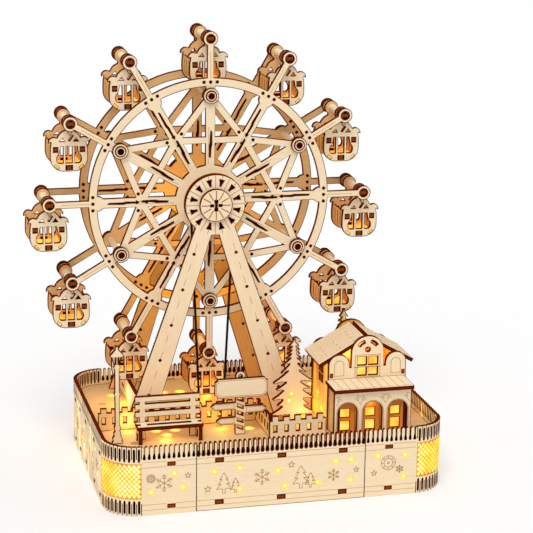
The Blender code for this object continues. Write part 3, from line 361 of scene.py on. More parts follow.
def bar_outline(start, end, width):
    start, end = Vector(start), Vector(end)
    along = (end - start).normalized()
    side = Vector((-along.y, along.x)) * (width / 2)
    return [tuple(corner) for corner in (start + side, start - side, end - side, end + side)]


print("Corners of a circle:", len(circle_outline(0.0, 0.0, 1.0)))

# %% Places on the model
TURNS = {"front": lambda u, v, w: (u, w, v), "side": lambda u, v, w: (w, u, v),
         "flat": lambda u, v, w: (u, v, w)}


def placed(turn, *at):
    """A function that takes points on a sheet to their place on the model, in millimetres."""
    return lambda u, v, w: tuple(p + q for p, q in zip(TURNS[turn](u, v, w), at))


def on_face(x, y, z, outward=-1):
    """The same for marks on an upright face, where w runs to the front (-1) or the back (1)."""
    return lambda u, v, w: (x + u, y + outward * w, z + v)


def faces_of(y, outward):
    """Depths of the outer and the inner face of an upright sheet that starts at y."""
    return (y, y + PLY) if outward < 0 else (y + PLY, y)


print("Ways to turn a sheet:", list(TURNS))

# %% Object helpers
def activate(*pieces):
    """Select some objects, with the first of them active."""
    bpy.ops.object.select_all(action="DESELECT")
    for piece in pieces:
        piece.select_set(True)
    bpy.context.view_layer.objects.active = pieces[0]


def in_edit_mode(*steps):
    """Run mesh tools on the active object in edit mode, each with the whole mesh selected."""
    bpy.ops.object.mode_set(mode="EDIT")
    for step in steps:
        bpy.ops.mesh.select_all(action="SELECT")
        step()
    bpy.ops.object.mode_set(mode="OBJECT")


def make_normals_outward(piece):
    activate(piece)
    in_edit_mode(lambda: bpy.ops.mesh.normals_make_consistent(inside=False))


def linked(name, data):
    piece = bpy.data.objects.new(name, data)
    bpy.context.scene.collection.objects.link(piece)
    return piece


def hand_over(piece, body="base", node=None):
    """Say which body a piece rides on, and the CAD node that it replaces."""
    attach(piece, body)
    if node:
        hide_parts(node)
    return piece


def joined(name, pieces):
    """Several pieces made one object, with their materials."""
    activate(*pieces)
    bpy.ops.object.join()
    pieces[0].name = pieces[0].data.name = name
    return pieces[0]


print("Object helpers ready")


# %% Laser-cut sheets
def filled_drawing(adds, cuts, guides):
    """Corners and triangles of a drawing: all that is added, less all that is cut."""
    points, faces, edges = [], [], []
    for outline in [*adds, *cuts]:
        following = outline[1:] + outline[:1]
        area = sum(a[0] * b[1] - b[0] * a[1] for a, b in zip(outline, following))
        faces.append(list(range(len(points), len(points) + len(outline))))
        points += [Vector(p) for p in (outline if area > 0 else outline[::-1])]
    for start, end in guides:
        edges.append((len(points), len(points) + 1))
        points += [Vector(start), Vector(end)]
    corners, _, triangles, _, _, sources = delaunay_2d_cdt(points, edges, faces, 0, 1e-4)
    kept = [tri for tri, source in zip(triangles, sources)
            if source and all(index < len(adds) for index in source)]
    return corners, kept


FACE, EDGE, RIM = 0, 1, 2


def cut_sheet(name, adds, cuts, place, node=None, face="x", thick=PLY, body="base", guides=(),
              edge=None, rim=0.62):
    """One laser-cut piece: drawn flat, inset for the scorched rim, extruded, set in its place."""
    corners, triangles = filled_drawing(adds, cuts, guides)
    data = bpy.data.meshes.new(name)
    data.from_pydata([(c.x, c.y, 0.0) for c in corners], [], triangles)
    piece = linked(name, data)
    data.materials.append(BIRCH[face] if isinstance(face, str) else face)
    data.materials.append(edge or BURNT_EDGE)
    activate(piece)
    in_edit_mode(lambda: bpy.ops.mesh.delete_loose(use_verts=True, use_edges=True,
                                                   use_faces=False))
    if not edge:
        data.materials.append(SCORCHED)
        in_edit_mode(lambda: bpy.ops.mesh.inset(thickness=rim, use_boundary=True,
                                                use_even_offset=False))
        for polygon in data.polygons:
            polygon.material_index = FACE if polygon.select else RIM
    in_edit_mode(lambda: bpy.ops.mesh.extrude_region_move(
        TRANSFORM_OT_translate={"value": (0.0, 0.0, thick)}))
    flat = np.zeros(len(data.vertices) * 3, np.float32)
    data.vertices.foreach_get("co", flat)
    flat = flat.reshape(-1, 3)
    layer = data.attributes.new("layer", "FLOAT", "POINT")
    layer.data.foreach_set("value", flat[:, 2] / thick)
    normals = np.zeros(len(data.polygons) * 3, np.float32)
    data.polygons.foreach_get("normal", normals)
    kinds = np.zeros(len(data.polygons), np.int32)
    data.polygons.foreach_get("material_index", kinds)
    kinds[np.abs(normals.reshape(-1, 3)[:, 2]) < 0.5] = EDGE
    data.polygons.foreach_set("material_index", kinds)
    spots = np.array([place(*map(float, p)) for p in flat], np.float32) * MM
    data.vertices.foreach_set("co", spots.ravel())
    data.update()
    make_normals_outward(piece)
    return hand_over(piece, body, node=node)


def plain_board(name, shapes, place, look, thick=0.8, guides=()):
    """A board of one material all over, such as a lit board behind a window."""
    return cut_sheet(name, shapes, [], place, face=look, thick=thick, guides=guides, edge=look)


def tint_faces(piece, look, wanted, kinds=(FACE,)):
    """Give another material to the polygons that a test picks by their normal."""
    slot = len(piece.data.materials)
    piece.data.materials.append(look)
    for polygon in piece.data.polygons:
        if polygon.material_index in kinds and wanted(polygon.normal):
            polygon.material_index = slot


# Inward faces get the honey or amber copy: painted shade and painted warm light.
def tint_inner(piece, look, outward):
    tint_faces(piece, look, lambda normal: normal.y * outward < -0.5)


print("Materials of a sheet: face", FACE, "edge", EDGE, "rim", RIM)


# %% Engraving and small blocks
def solid(name, spots, faces, place, look, body="base"):
    """A mesh drawn in the flat of a sheet and set in its place."""
    data = bpy.data.meshes.new(name)
    data.from_pydata([tuple(c * MM for c in place(*spot)) for spot in spots], [], faces)
    data.materials.append(look)
    piece = linked(name, data)
    make_normals_outward(piece)
    return hand_over(piece, body)


def prisms(name, outlines, place, low, high, look, body="base"):
    """Shallow blocks of any outline that reach from low to high through a sheet's face."""
    spots, faces = [], []
    for outline in outlines:
        first, count = len(spots), len(outline)
        spots += [(u, v, w) for w in (low, high) for u, v in outline]
        ring = [(i, (i + 1) % count, count + (i + 1) % count, count + i) for i in range(count)]
        ring += [tuple(range(count)), tuple(range(count, 2 * count))]
        faces += [tuple(first + i for i in face) for face in ring]
    return solid(name, spots, faces, place, look, body)


def engraved(name, lines, place, width, look=ENGRAVED, sunk=0.05, proud=0.07, body="base"):
    """Engraved lines as thin burnt strips that lie in the face of a sheet."""
    strips = []
    for line in lines:
        for start, end in zip(map(Vector, line), map(Vector, line[1:])):
            if (end - start).length > 1e-6:
                reach = (end - start).normalized() * (width * 0.3)
                strips.append(bar_outline(start - reach, end + reach, width))
    return prisms(name, strips, place, -sunk, proud, look, body)


print("Engraving helpers ready")

# %% [markdown]
# The top edge of every wall is a comb: round-topped fingers 4 mm apart, with a narrow slot between
# them that ends in a drop-shaped hole. One slot is drawn once and copied along the edge. A
# near-black board stands behind the comb: painted shade in the slots.

# %% Comb, tab holes, front and back walls
COMB_PITCH, COMB_LOW, COMB_HIGH = 4.0, 46.2, 50.4
TAB_LEVELS = (BOTTOM_TOP - PLY, DECK_TOP - PLY)
FRONT_TABS = (-89.2, -50.7, 0.0, 50.7, 89.2)
SIDE_TABS = (34.0, 64.0, 108.0, 139.0, 165.0)
SLOT_HALF = [(0.0, 46.2), (0.65, 46.35), (1.1, 47.0), (1.15, 47.9), (0.9, 49.2), (0.68, 50.6),
             (0.68, 55.5), (0.85, 56.2), (1.25, 56.75), (2.0, 57.3)]
COMB_SLOT = SLOT_HALF + mirrored(SLOT_HALF)[:-1]
SWITCH_X, SWITCH_Z = 60.0, 24.0


def comb_slots(start, end):
    count = round((end - start) / COMB_PITCH)
    pitch = (end - start) / count
    return [moved(COMB_SLOT, start + (i + 0.5) * pitch, 0.0) for i in range(count)]


def tab_holes(places):
    return [box_outline(u - 3.25, v - 0.25, u + 3.25, v + PLY + 0.25)
            for u in places for v in TAB_LEVELS]


flat_half = PANEL_WIDTH / 2 - GAP / 2
wall_sheet = boxes((-flat_half, 0.0, flat_half, WALL_HEIGHT))
wall_slots = comb_slots(-flat_half - 0.4, flat_half + 0.4)
wall_slots += tab_holes([u for u in FRONT_TABS if abs(u) < flat_half])
switch_slot = boxes((SWITCH_X - 3.8, SWITCH_Z - 2.1, SWITCH_X + 3.8, SWITCH_Z + 2.1))
for label, y, painted_shade_y, slots in (("front", -PLY / 2, 1.3 - PLY / 2, wall_slots),
                                ("back", BACK_FACE - PLY, BACK_FACE - 1.8,
                                 wall_slots + switch_slot)):
    wall = cut_sheet("wall_" + label, wall_sheet, slots, placed("front", 0, y, 0), label + "_wall")
    # A near-black board behind the comb's slots: painted shade.
    plain_board("soot_comb_" + label, boxes((0.5 - flat_half, COMB_LOW - 0.4, flat_half - 0.5,
                                             COMB_HIGH)), placed("front", 0, painted_shade_y, 0), HOLE_SHADE, 0.5)
print("Back wall faces:", len(wall.data.polygons))

# %% [markdown]
# At the corners the sheet bends. A pattern of short slots, set in staggered rows, lets stiff
# plywood curve: each slot opens a little as the sheet is bent. Here the rows glow, because a
# bright liner behind them lets light out. Long narrow loops close the pattern above and below.

# %% Corner sheets
HINGE_RADIUS = CORNER_RADIUS - PLY / 2
ARC = HINGE_RADIUS * math.pi / 2
HINGE_COLUMNS = 11
HINGE_PITCH = ARC / HINGE_COLUMNS
LOOP_HEIGHT = 11.5
LATTICE_LOW, LATTICE_HIGH, LATTICE_ROWS = 14.2, 43.0, 7
LOZENGE_HALF, LOZENGE_TALL = 1.44 * 0.9, 1.74
CORNER_FLAT = FLAT_HALF - PANEL_WIDTH / 2 - GAP / 2
SIDE_LENGTH = SIDE_MIDDLE - SIDE_START - GAP / 2
LINER_DEPTH = 2.0


def diamond(points, u, v):
    """A closed outline from its right half, the same on the left."""
    return moved(points + mirrored(points)[1:-1], u, v)


def long_slot(u, low, high, half=0.8):
    """A slot with pointed round ends."""
    return diamond([(0.0, low), (half * 0.8, low + 0.7), (half, low + 1.6), (half, high - 1.6),
                    (half * 0.8, high - 0.7), (0.0, high)], u, 0.0)


def hinge_cuts():
    """Cuts of the bent corner: long loops above and below, lozenges between them."""
    cuts = []
    for column in range(HINGE_COLUMNS):
        u = (column + 0.5) * HINGE_PITCH
        cuts.append(long_slot(u, 1.3, LOOP_HEIGHT + 1.2))
        cuts.append(long_slot(u, WALL_HEIGHT - LOOP_HEIGHT - 1.2, WALL_HEIGHT - 1.3))
    for column in range(HINGE_COLUMNS + 1):
        u = column * HINGE_PITCH
        cuts += boxes((u - 0.28, -1.0, u + 0.28, LOOP_HEIGHT - 1.6),
                      (u - 0.28, WALL_HEIGHT - LOOP_HEIGHT + 1.6, u + 0.28, WALL_HEIGHT + 1.0))
    pitch = (LATTICE_HIGH - LATTICE_LOW) / LATTICE_ROWS
    lozenge = [(0.0, -LOZENGE_TALL), (LOZENGE_HALF, -0.2), (LOZENGE_HALF, 0.2),
               (0.0, LOZENGE_TALL)]
    for column in range(2 * HINGE_COLUMNS - 1):
        odd = column % 2
        for row in range(LATTICE_ROWS - odd):
            cuts.append(diamond(lozenge, (column + 1) * HINGE_PITCH / 2,
                                LATTICE_LOW + (row + odd / 2 + 0.5) * pitch))
    return cuts


def light_lattice(piece):
    """The net between the lozenges is lit, and the side walls let some light through."""
    net = len(piece.data.materials)
    for look in (LIT_NET, LIT_WALL, WINDOW_GLOW):
        piece.data.materials.append(look)
    for polygon in piece.data.polygons:
        x, y, z = (c / MM for c in polygon.center)
        in_arc = abs(x) > FLAT_HALF and not SIDE_START < y < SIDE_END
        if in_arc and LATTICE_LOW - 0.4 < z < LATTICE_HIGH + 0.4:
            # The cut walls of the lozenges take the window glow: painted light from the liner
            # behind them.
            polygon.material_index = net + 2 if polygon.material_index == EDGE else net
        elif polygon.material_index == FACE and abs(polygon.normal.x) > 0.9:
            polygon.material_index = net + 1


def arc_guides(steps, low, high):
    """Upright lines in a drawing, so that its triangles can follow the bend."""
    return [((ARC * i / steps, low), (ARC * i / steps, high)) for i in range(steps + 1)]


def corner_sheet(end_name, side, rear):
    tabs = [u - FLAT_HALF for u in FRONT_TABS if u > PANEL_WIDTH / 2]
    for y in SIDE_TABS:
        along = SIDE_END - y if rear else y - SIDE_START
        if 3.0 < along < SIDE_LENGTH - 3.0:
            tabs.append(ARC + along)
    end = ARC + SIDE_LENGTH
    cuts = comb_slots(-CORNER_FLAT, -0.3) + comb_slots(ARC + 0.3, end) + tab_holes(tabs)
    guides = arc_guides(22, -2.0, WALL_HEIGHT + 2.0)
    guides += [((0.0, v), (ARC, v)) for v in (LATTICE_LOW - 0.4, LATTICE_HIGH + 0.4)]

    def bend(u, v, w, depth=0.0):
        w += depth
        if u <= 0.0:
            x, y = FLAT_HALF + u, -PLY / 2 + w
        elif u >= ARC:
            x, y = BASE_WIDTH / 2 - w, SIDE_START + u - ARC
        else:
            x = FLAT_HALF + (CORNER_RADIUS - w) * math.sin(u / HINGE_RADIUS)
            y = SIDE_START - (CORNER_RADIUS - w) * math.cos(u / HINGE_RADIUS)
        return (side * x, BASE_DEPTH - PLY - y if rear else y, v)

    piece = cut_sheet("hinge_" + end_name, boxes((-CORNER_FLAT, 0.0, end, WALL_HEIGHT)),
                      cuts + hinge_cuts(), bend, "corner_" + end_name, guides=guides, rim=0.12)
    light_lattice(piece)
    strips = boxes((0.4, 1.2, ARC - 0.4, 12.9),
                   (0.4, WALL_HEIGHT - 12.9, ARC - 0.4, WALL_HEIGHT - 0.4),
                   (0.6 - CORNER_FLAT, COMB_LOW - 0.4, -0.4, COMB_HIGH),
                   (ARC + 0.4, COMB_LOW - 0.4, end - 0.6, COMB_HIGH))
    # Near-black strips behind the loops and the comb: painted shade in the cuts.
    plain_board("soot_" + end_name, strips, lambda u, v, w: bend(u, v, w, 1.3), HOLE_SHADE, 0.5, guides)
    plain_board("glow_" + end_name, boxes((0.0, LATTICE_LOW - 0.5, ARC, LATTICE_HIGH + 0.5)),
                lambda u, v, w: bend(u, v, w, LINER_DEPTH), LATTICE_GLOW, 0.6,
                arc_guides(14, 0.0, WALL_HEIGHT))
    return piece


for end_name, side, rear in (("front_left", -1, False), ("front_right", 1, False),
                             ("back_left", -1, True), ("back_right", 1, True)):
    corner = corner_sheet(end_name, side, rear)
    print(corner.name, "faces:", len(corner.data.polygons))

# %% [markdown]
# The deck and the bottom plate lie between the walls. Their tabs reach through the walls and show
# there as small dark rectangles, two rows of them all round. The deck also carries slots for the
# feet of the frames and two holes for the drive cord.

# %% Deck and bottom plate
FOOT_MIDDLE = 62.5


def floor_outlines():
    inset = PLY + GAP
    inner = CORNER_RADIUS - inset
    right, left = BASE_WIDTH / 2 - inset, inset - BASE_WIDTH / 2
    front, back = inset - PLY / 2, BACK_FACE - inset
    outline = []
    for quarter, (u, v) in enumerate(((right, back), (left, back), (left, front),
                                      (right, front))):
        cu = u - math.copysign(inner, u)
        cv = v - inner if v > SIDE_MIDDLE else v + inner
        start = quarter * math.pi / 2
        outline += arc_points(cu, cv, inner, start, start + math.pi / 2, 12)
    tabs = [(u - 3, v0, u + 3, v1) for u in FRONT_TABS
            for v0, v1 in ((front - 2.9, front + 5), (back - 5, back + 2.9))]
    tabs += [(u0, v - 3, u1, v + 3) for v in SIDE_TABS
             for u0, u1 in ((left - 2.9, left + 5), (right - 5, right + 2.9))]
    return [outline] + boxes(*tabs)


deck_cuts = [circle_outline(u, 104.0, 2.8, 20) for u in (WHEEL_X - 10.0, WHEEL_X + 10.0)]
for foot_y in (FRAME_FRONT_Y, FRAME_BACK_Y):
    for u in (WHEEL_X - FOOT_MIDDLE, WHEEL_X + FOOT_MIDDLE):
        deck_cuts += boxes((u - 6.2, foot_y - 0.2, u + 6.2, foot_y + PLY + 0.2))
deck = cut_sheet("deck_board", floor_outlines(), deck_cuts, placed("flat", 0, 0, DECK_TOP - PLY),
                 "deck")
# The deck's top takes the honey copy: painted shade and painted warm light from the bulbs.
tint_faces(deck, HONEY["x"], lambda normal: normal.z > 0.5)
cut_sheet("bottom_board", floor_outlines(), [], placed("flat", 0, 0, BOTTOM_TOP - PLY),
          "bottom_plate")
print("Deck faces:", len(deck.data.polygons))

# %% [markdown]
# A string of lights lies in the base. What shows is its light: a thin line in the joints between
# the sheets, and single bulbs in small holes in the walls and in the deck, each with a halo on the
# wood round it. Ends of tenons are end grain, toasted by the laser.

# %% Light seams, bulbs, halos and tenons
WALLS = {
    "front": lambda u, v, w: (u, -PLY / 2 - w, v),
    "back": lambda u, v, w: (u, BACK_FACE + w, v),
    "left": lambda u, v, w: (-BASE_WIDTH / 2 - w, u, v),
    "right": lambda u, v, w: (BASE_WIDTH / 2 + w, u, v),
    "deck": lambda u, v, w: (u, v, DECK_TOP + w),
}
FRONT_BULBS = ((-86.9, 33.3), (-80.0, 21.5), (-105.5, 19.1), (-54.6, 32.4), (-34.4, 34.0),
               (-34.3, 16.2), (-3.0, 29.0), (2.9, 15.6), (44.5, 32.9), (57.4, 33.4), (29.9, 16.4),
               (57.3, 16.1), (80.0, 34.5), (103.0, 33.9), (102.3, 15.5))
LEFT_BULBS = ((34.0, 33.0), (48.0, 18.0), (58.0, 36.0), (72.0, 22.0), (86.0, 33.0), (101.0, 19.0),
              (116.0, 35.0), (128.0, 21.0), (137.0, 28.0), (150.0, 34.0), (166.0, 18.0))
DECK_BULBS = ((-87.9, 69.6), (-80.9, 58.4), (-72.2, 68.6), (-121.3, 62.3), (-121.2, 80.3),
              (-108.2, 164.7), (-98.2, 185.1), (-76.1, 168.3), (-63.7, 163.7), (-48.7, 163.3),
              (-28.3, 146.7), (-37.1, 106.2), (-21.4, 118.5), (30.0, 150.0), (70.0, 160.0),
              (118.0, 130.0), (10.0, 120.0), (-12.0, 60.0), (122.0, 90.0))


def bulb_mesh(radius=1.0):
    """A small bulb, flattened because it sits in its hole, from a sphere."""
    bpy.ops.object.select_all(action="DESELECT")
    bpy.ops.mesh.primitive_uv_sphere_add(segments=10, ring_count=6, radius=radius)
    ball = bpy.context.object
    for vertex in ball.data.vertices:
        if vertex.co.z < -0.3 * radius:
            vertex.co.z = -0.5 * radius
            vertex.co.xy *= 1.12
    spots = [tuple(v.co) for v in ball.data.vertices]
    faces = [tuple(p.vertices) for p in ball.data.polygons]
    bpy.data.objects.remove(ball)
    return spots, faces


DOME_SPOTS, DOME_FACES = bulb_mesh()


def bulbs(name, spots, place):
    verts, faces = [], []
    for u, v in spots:
        faces += [tuple(len(verts) + i for i in face) for face in DOME_FACES]
        verts += [(u + x, v + y, 0.1 + 0.06 * z) for x, y, z in DOME_SPOTS]
    solid(name, verts, faces, place, BULB)


def halos(name, spots, place, radius=5.4, look=HALO, sides=20):
    """Thin discs of light, with a UV map that has its origin in the middle of each."""
    rim = [(0.0, 0.0), *circle_outline(0.0, 0.0, 1.0, sides)]
    verts, faces = [], []
    for u, v in spots:
        low, top = len(verts), len(verts) + len(rim)
        verts += [(u + a * radius, v + b * radius, w) for w in (0.05, 0.08) for a, b in rim]
        for i in range(1, sides + 1):
            j = i % sides + 1
            faces += [(low, low + j, low + i), (top, top + i, top + j),
                      (low + i, low + j, top + j, top + i)]
    piece = solid(name, verts, faces, place, look)
    layer = piece.data.uv_layers.new(name="UVMap")
    for loop in piece.data.loops:
        layer.data[loop.index].uv = rim[loop.vertex_index % len(rim)]


SEAM_LOW, SEAM_HIGH = 10.0, 39.0
long_wall = ((-PANEL_WIDTH / 2, PANEL_WIDTH / 2), FRONT_BULBS, FRONT_TABS)
short_wall = ((SIDE_MIDDLE,), LEFT_BULBS, SIDE_TABS)
for wall, (seams, spots, tabs) in (("front", long_wall), ("left", short_wall),
                                   ("back", long_wall), ("right", short_wall)):
    place = WALLS[wall]
    lines = [[(u, SEAM_LOW), (u, SEAM_HIGH)] for u in seams]
    engraved("seam_" + wall, lines, place, 1.4, BULB, 4.0, -3.4)
    bulbs("bulbs_" + wall, spots, place)
    halos("halos_" + wall, spots, place)
    ends = boxes(*((u - 2.6, v + 0.2, u + 2.6, v + PLY - 0.6) for u in tabs for v in TAB_LEVELS))
    prisms("tenons_" + wall, ends, place, -2.6, -0.35, TENON)
bulbs("bulbs_deck", DECK_BULBS, WALLS["deck"])
halos("halos_deck", DECK_BULBS, WALLS["deck"], 7.5, DECK_HALO)
print("Bulbs in the base:", 2 * len(FRONT_BULBS) + 2 * len(LEFT_BULBS) + len(DECK_BULBS))

# %% [markdown]
# Thin engraved lines run along the walls above and below each row of tabs. Between them are simple
# winter motifs: snowflakes, stars, small firs and round wheels. They are strips of the burnt
# colour, half a millimetre wide, because a laser draws with a line of constant width. Each motif
# is drawn once at unit size.

# %% Motifs
def closed(outline):
    return outline + outline[:1]


def ring_line(u, v, radius, sides=20):
    return closed(circle_outline(u, v, radius, sides))


arm_lines = [[(0.0, 0.0), (0.0, 1.0)]]
for share, length in ((0.45, 0.3), (0.72, 0.22)):
    for turn in (-0.9, 0.9):
        arm_lines.append([(0.0, share), *moved([clock_point(length, turn)], 0.0, share)])
SNOWFLAKE = [turned_outline(line, arm * math.pi / 3) for arm in range(6) for line in arm_lines]
STAR = [[clock_point(0.42 if i % 2 else 1.0, math.pi * i / 5) for i in range(11)]]
fir_right = [(0.0, 1.0)]
for tier in range(3):
    low, reach = 0.68 - 0.24 * tier, 0.36 * (0.55 + 0.22 * tier)
    fir_right += [(reach, low), (reach * 0.45, low + 0.03)]
fir_right += [(0.06, 0.2), (0.06, 0.0)]
FIR = [fir_right + mirrored(fir_right)]
WHEEL = [ring_line(0.0, 0.0, 1.0), ring_line(0.0, 0.0, 0.62)]
WHEEL += [[clock_point(0.62, spoke * math.pi / 4), clock_point(1.0, spoke * math.pi / 4)]
          for spoke in range(8)]


def motifs(*wanted):
    """Lines of all the wanted motifs, each given by its drawing, its middle and its size."""
    lines = []
    for drawing, u, v, size in wanted:
        lines += [[(u + size * a, v + size * b) for a, b in line] for line in drawing]
        if drawing is WHEEL:
            lines.append(ring_line(u, v, 0.9, 8))
    return lines


BORDER_LEVELS = (44.2, 39.7, 8.8, 4.3)


def border_lines(start, end, tabs):
    """Lines along a wall, broken at its tabs."""
    places = [start] + [u + s * 4.0 for u in tabs for s in (-1, 1)] + [end]
    return [[(a, v), (b, v)] for v in BORDER_LEVELS
            for a, b in zip(places[::2], places[1::2]) if b > a]


FRONT_LINES = (border_lines(-112.0, 112.0, FRONT_TABS), motifs(
    (SNOWFLAKE, -95.0, 26.0, 7.5), (STAR, -76.0, 31.0, 2.6), (WHEEL, -105.5, 30.5, 3.4),
    (FIR, -47.0, 13.5, 17.0), (FIR, -37.5, 13.5, 12.0), (STAR, -60.0, 18.0, 3.0),
    (SNOWFLAKE, -16.0, 24.5, 7.0), (STAR, 8.0, 33.0, 2.8), (FIR, 16.0, 12.5, 19.0),
    (FIR, 24.0, 12.5, 12.5), (SNOWFLAKE, 43.0, 21.5, 5.2), (STAR, 62.0, 24.5, 2.4),
    (WHEEL, 89.0, 28.0, 6.0), (SNOWFLAKE, 98.5, 22.0, 3.4), (STAR, 77.0, 20.0, 2.6)))
SIDE_LINES = (border_lines(SIDE_START + 1.0, SIDE_END - 1.0, SIDE_TABS), motifs(
    (SNOWFLAKE, 48.0, 27.0, 6.0), (FIR, 72.0, 12.5, 17.0), (STAR, 88.0, 24.0, 3.0),
    (WHEEL, 120.0, 25.0, 6.0), (SNOWFLAKE, 152.0, 25.0, 6.0), (STAR, 136.0, 16.0, 2.6)))
for wall, (borders, drawings) in (("front", FRONT_LINES), ("back", FRONT_LINES),
                                  ("left", SIDE_LINES), ("right", SIDE_LINES)):
    engraved("borders_" + wall, borders, WALLS[wall], 0.4, DASHED)
    engraved("engraving_" + wall, drawings, WALLS[wall], 0.45)
deck_flakes = ((-110.0, 45.0), (-98.0, 92.0), (-64.0, 28.0), (-35.0, 70.0), (-12.0, 36.0),
               (15.0, 22.0), (60.0, 14.0), (125.0, 60.0), (104.0, 128.0), (60.0, 135.0),
               (-120.0, 145.0), (-10.0, 165.0))
engraved("engraving_deck", motifs(*((SNOWFLAKE, u, v, 3.6) for u, v in deck_flakes)),
         WALLS["deck"], 0.45)
print("Engraved lines on the front:", sum(map(len, FRONT_LINES)))

# %% [markdown]
# Two frames like a capital A carry the wheel. Each is one sheet: a round hub plate and two legs
# that stand in the deck. Cocktail-stick pins and engraved dashes run down the middle of each leg,
# and a ring of twelve small cuts decorates the hub.

# %% A frames
HUB_DISC = 25.0
FOOT_OUTER, FOOT_INNER, FOOT_DROP = 74.0, 51.0, WHEEL_Z - STANDING
LEG_AXIS = ((14.2, -30.0), (62.5, -FOOT_DROP))
NOTCH = [(-2.1, 21.0), (2.1, 21.0), (0.75, 17.9), (0.5, 15.7), (-0.5, 15.7), (-0.75, 17.9)]
leg = [(0.0, 0.0), (16.8, -19.3), (FOOT_OUTER, -FOOT_DROP), (FOOT_INNER, -FOOT_DROP),
       (3.3, -25.5), (0.0, -25.5)]
foot_tab = box_outline(FOOT_MIDDLE - 6.0, DECK_TOP - PLY - WHEEL_Z, FOOT_MIDDLE + 6.0,
                       1.0 - FOOT_DROP)
hub_plate, hub_hole = circle_outline(0.0, 0.0, HUB_DISC, 72), circle_outline(0.0, 0.0, HUB_HOLE, 32)
frame_adds = [hub_plate, leg, mirrored(leg), foot_tab, mirrored(foot_tab)]


def along_leg(share, side):
    (u0, v0), (u1, v1) = LEG_AXIS
    return (side * (u0 + (u1 - u0) * share), v0 + (v1 - v0) * share)


pins = [along_leg(s, side) for s in (0.07, 0.265, 0.46, 0.655, 0.85) for side in (-1, 1)]
frame_cuts = [hub_hole] + [turned_outline(NOTCH, STEP * (i + 0.5)) for i in range(12)]
frame_cuts += [circle_outline(*pin, 0.85, 10) for pin in pins]
plugs = [circle_outline(*pin, PIN_PLUG, 10) for pin in pins]
dashes = [[along_leg(start + 0.005, side), along_leg(start + 0.045, side)] for side in (-1, 1)
          for start in (0.01, 0.12, 0.2, 0.32, 0.41, 0.51, 0.6, 0.71, 0.8, 0.9)]
spokes = [[clock_point(21.6 if i % 2 else 14.2, i * STEP / 2), clock_point(24.6, i * STEP / 2)]
          for i in range(24)]
for label, y, outward in (("front", FRAME_FRONT_Y, -1), ("back", FRAME_BACK_Y, 1)):
    sheet = cut_sheet(f"a_frame_{label}", frame_adds, frame_cuts,
                      placed("front", WHEEL_X, y, WHEEL_Z), f"{label}_frame", "z")
    tint_inner(sheet, HONEY["z"], outward)
    outer, inner = faces_of(y, outward)
    outside = on_face(WHEEL_X, outer, WHEEL_Z, outward)
    # Near-black plugs sit in the pin holes, below the face: painted shade in the holes.
    prisms(f"frame_pins_{label}", plugs, outside, *PLUG_DEPTH, HOLE_SHADE)
    engraved(f"frame_lines_{label}", dashes, outside, 0.5, DASHED)
    engraved(f"frame_spokes_{label}", spokes, outside, 0.45)
    engraved(f"frame_inner_lines_{label}", dashes, on_face(WHEEL_X, inner, WHEEL_Z, -outward),
             0.5, DASHED)
doubler = cut_sheet("hub_doubler", [hub_plate], [hub_hole],
                    placed("front", WHEEL_X, FRAME_FRONT_Y + PLY, WHEEL_Z), face="z")
# The doubler's front shows only through the hub's notches, and is painted near-black as the shade
# there.
tint_faces(doubler, HOLE_SHADE, lambda normal: normal.y < -0.5, (FACE, EDGE, RIM))
print("Pin holes in each frame:", len(pins))

# %% Boards between the feet
rail_low, rail_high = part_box("foot_rail_left")
RAIL_TOP = rail_high.z / MM - STANDING
RAIL_LENGTH = (rail_high.y - rail_low.y) / MM
rail_slots = boxes(*((u - 5.0, 7.5, u + 5.0, 9.1) for u in (14.0, 42.0, 70.0)))
for label, side in (("left", -1), ("right", 1)):
    cut_sheet(f"foot_board_{label}", boxes((0.0, 0.0, RAIL_LENGTH, RAIL_TOP)), rail_slots,
              placed("side", WHEEL_X + side * 63.0 - PLY / 2, rail_low.y / MM, STANDING),
              f"foot_rail_{label}", "y")
print("Boards are", round(RAIL_TOP, 1), "mm high")

# %% [markdown]
# Each side of the wheel is a single sheet: a hub plate, twelve arms, the rim, a six-pointed star
# of bars and a ring at the end of each arm. The drawing holds all these shapes on top of each
# other, and the filling joins them. Jagged slits, pin holes and triangles are cut through it.

# %% Drawing of a wheel side
RIM_INNER, RIM_OUTER = RIM_RADIUS - 3.55, RIM_RADIUS + 3.55
ARM_WIDTH, STAR_BAR = 8.0, 5.5
SLIT = [(-0.75, 35.5), (0.25, 35.0), (0.45, 42.5), (1.15, 45.5), (1.05, 56.0), (0.25, 57.4),
        (-0.05, 47.5), (-0.7, 45.0)]
OUTER_SLIT = [(-0.6, 61.2), (0.3, 60.4), (0.55, 69.5), (-0.05, 72.5), (0.0, 84.0), (-0.9, 84.8),
              (-1.1, 72.0), (-0.45, 69.0)]
TRIANGLE = [(-1.3, 61.5), (1.3, 61.5), (0.0, 59.1)]
# Lines of painted shade inside the slits and the triangles.
SLIT_SHADE = [(-0.25, 36.0), (-0.1, 43.5), (0.55, 46.5), (0.6, 56.3)]
OUTER_SHADE = [(-0.15, 61.6), (0.05, 69.2), (-0.55, 72.3), (-0.45, 84.0)]
TRIANGLE_SHADE = [(0.0, 59.9), (0.0, 61.3)]
side_adds, side_cuts = [circle_outline(0.0, 0.0, 29.0, 72)], [circle_outline(0.0, 0.0, 2.9, 24)]
side_lines, side_pins, side_shade = [], [], []
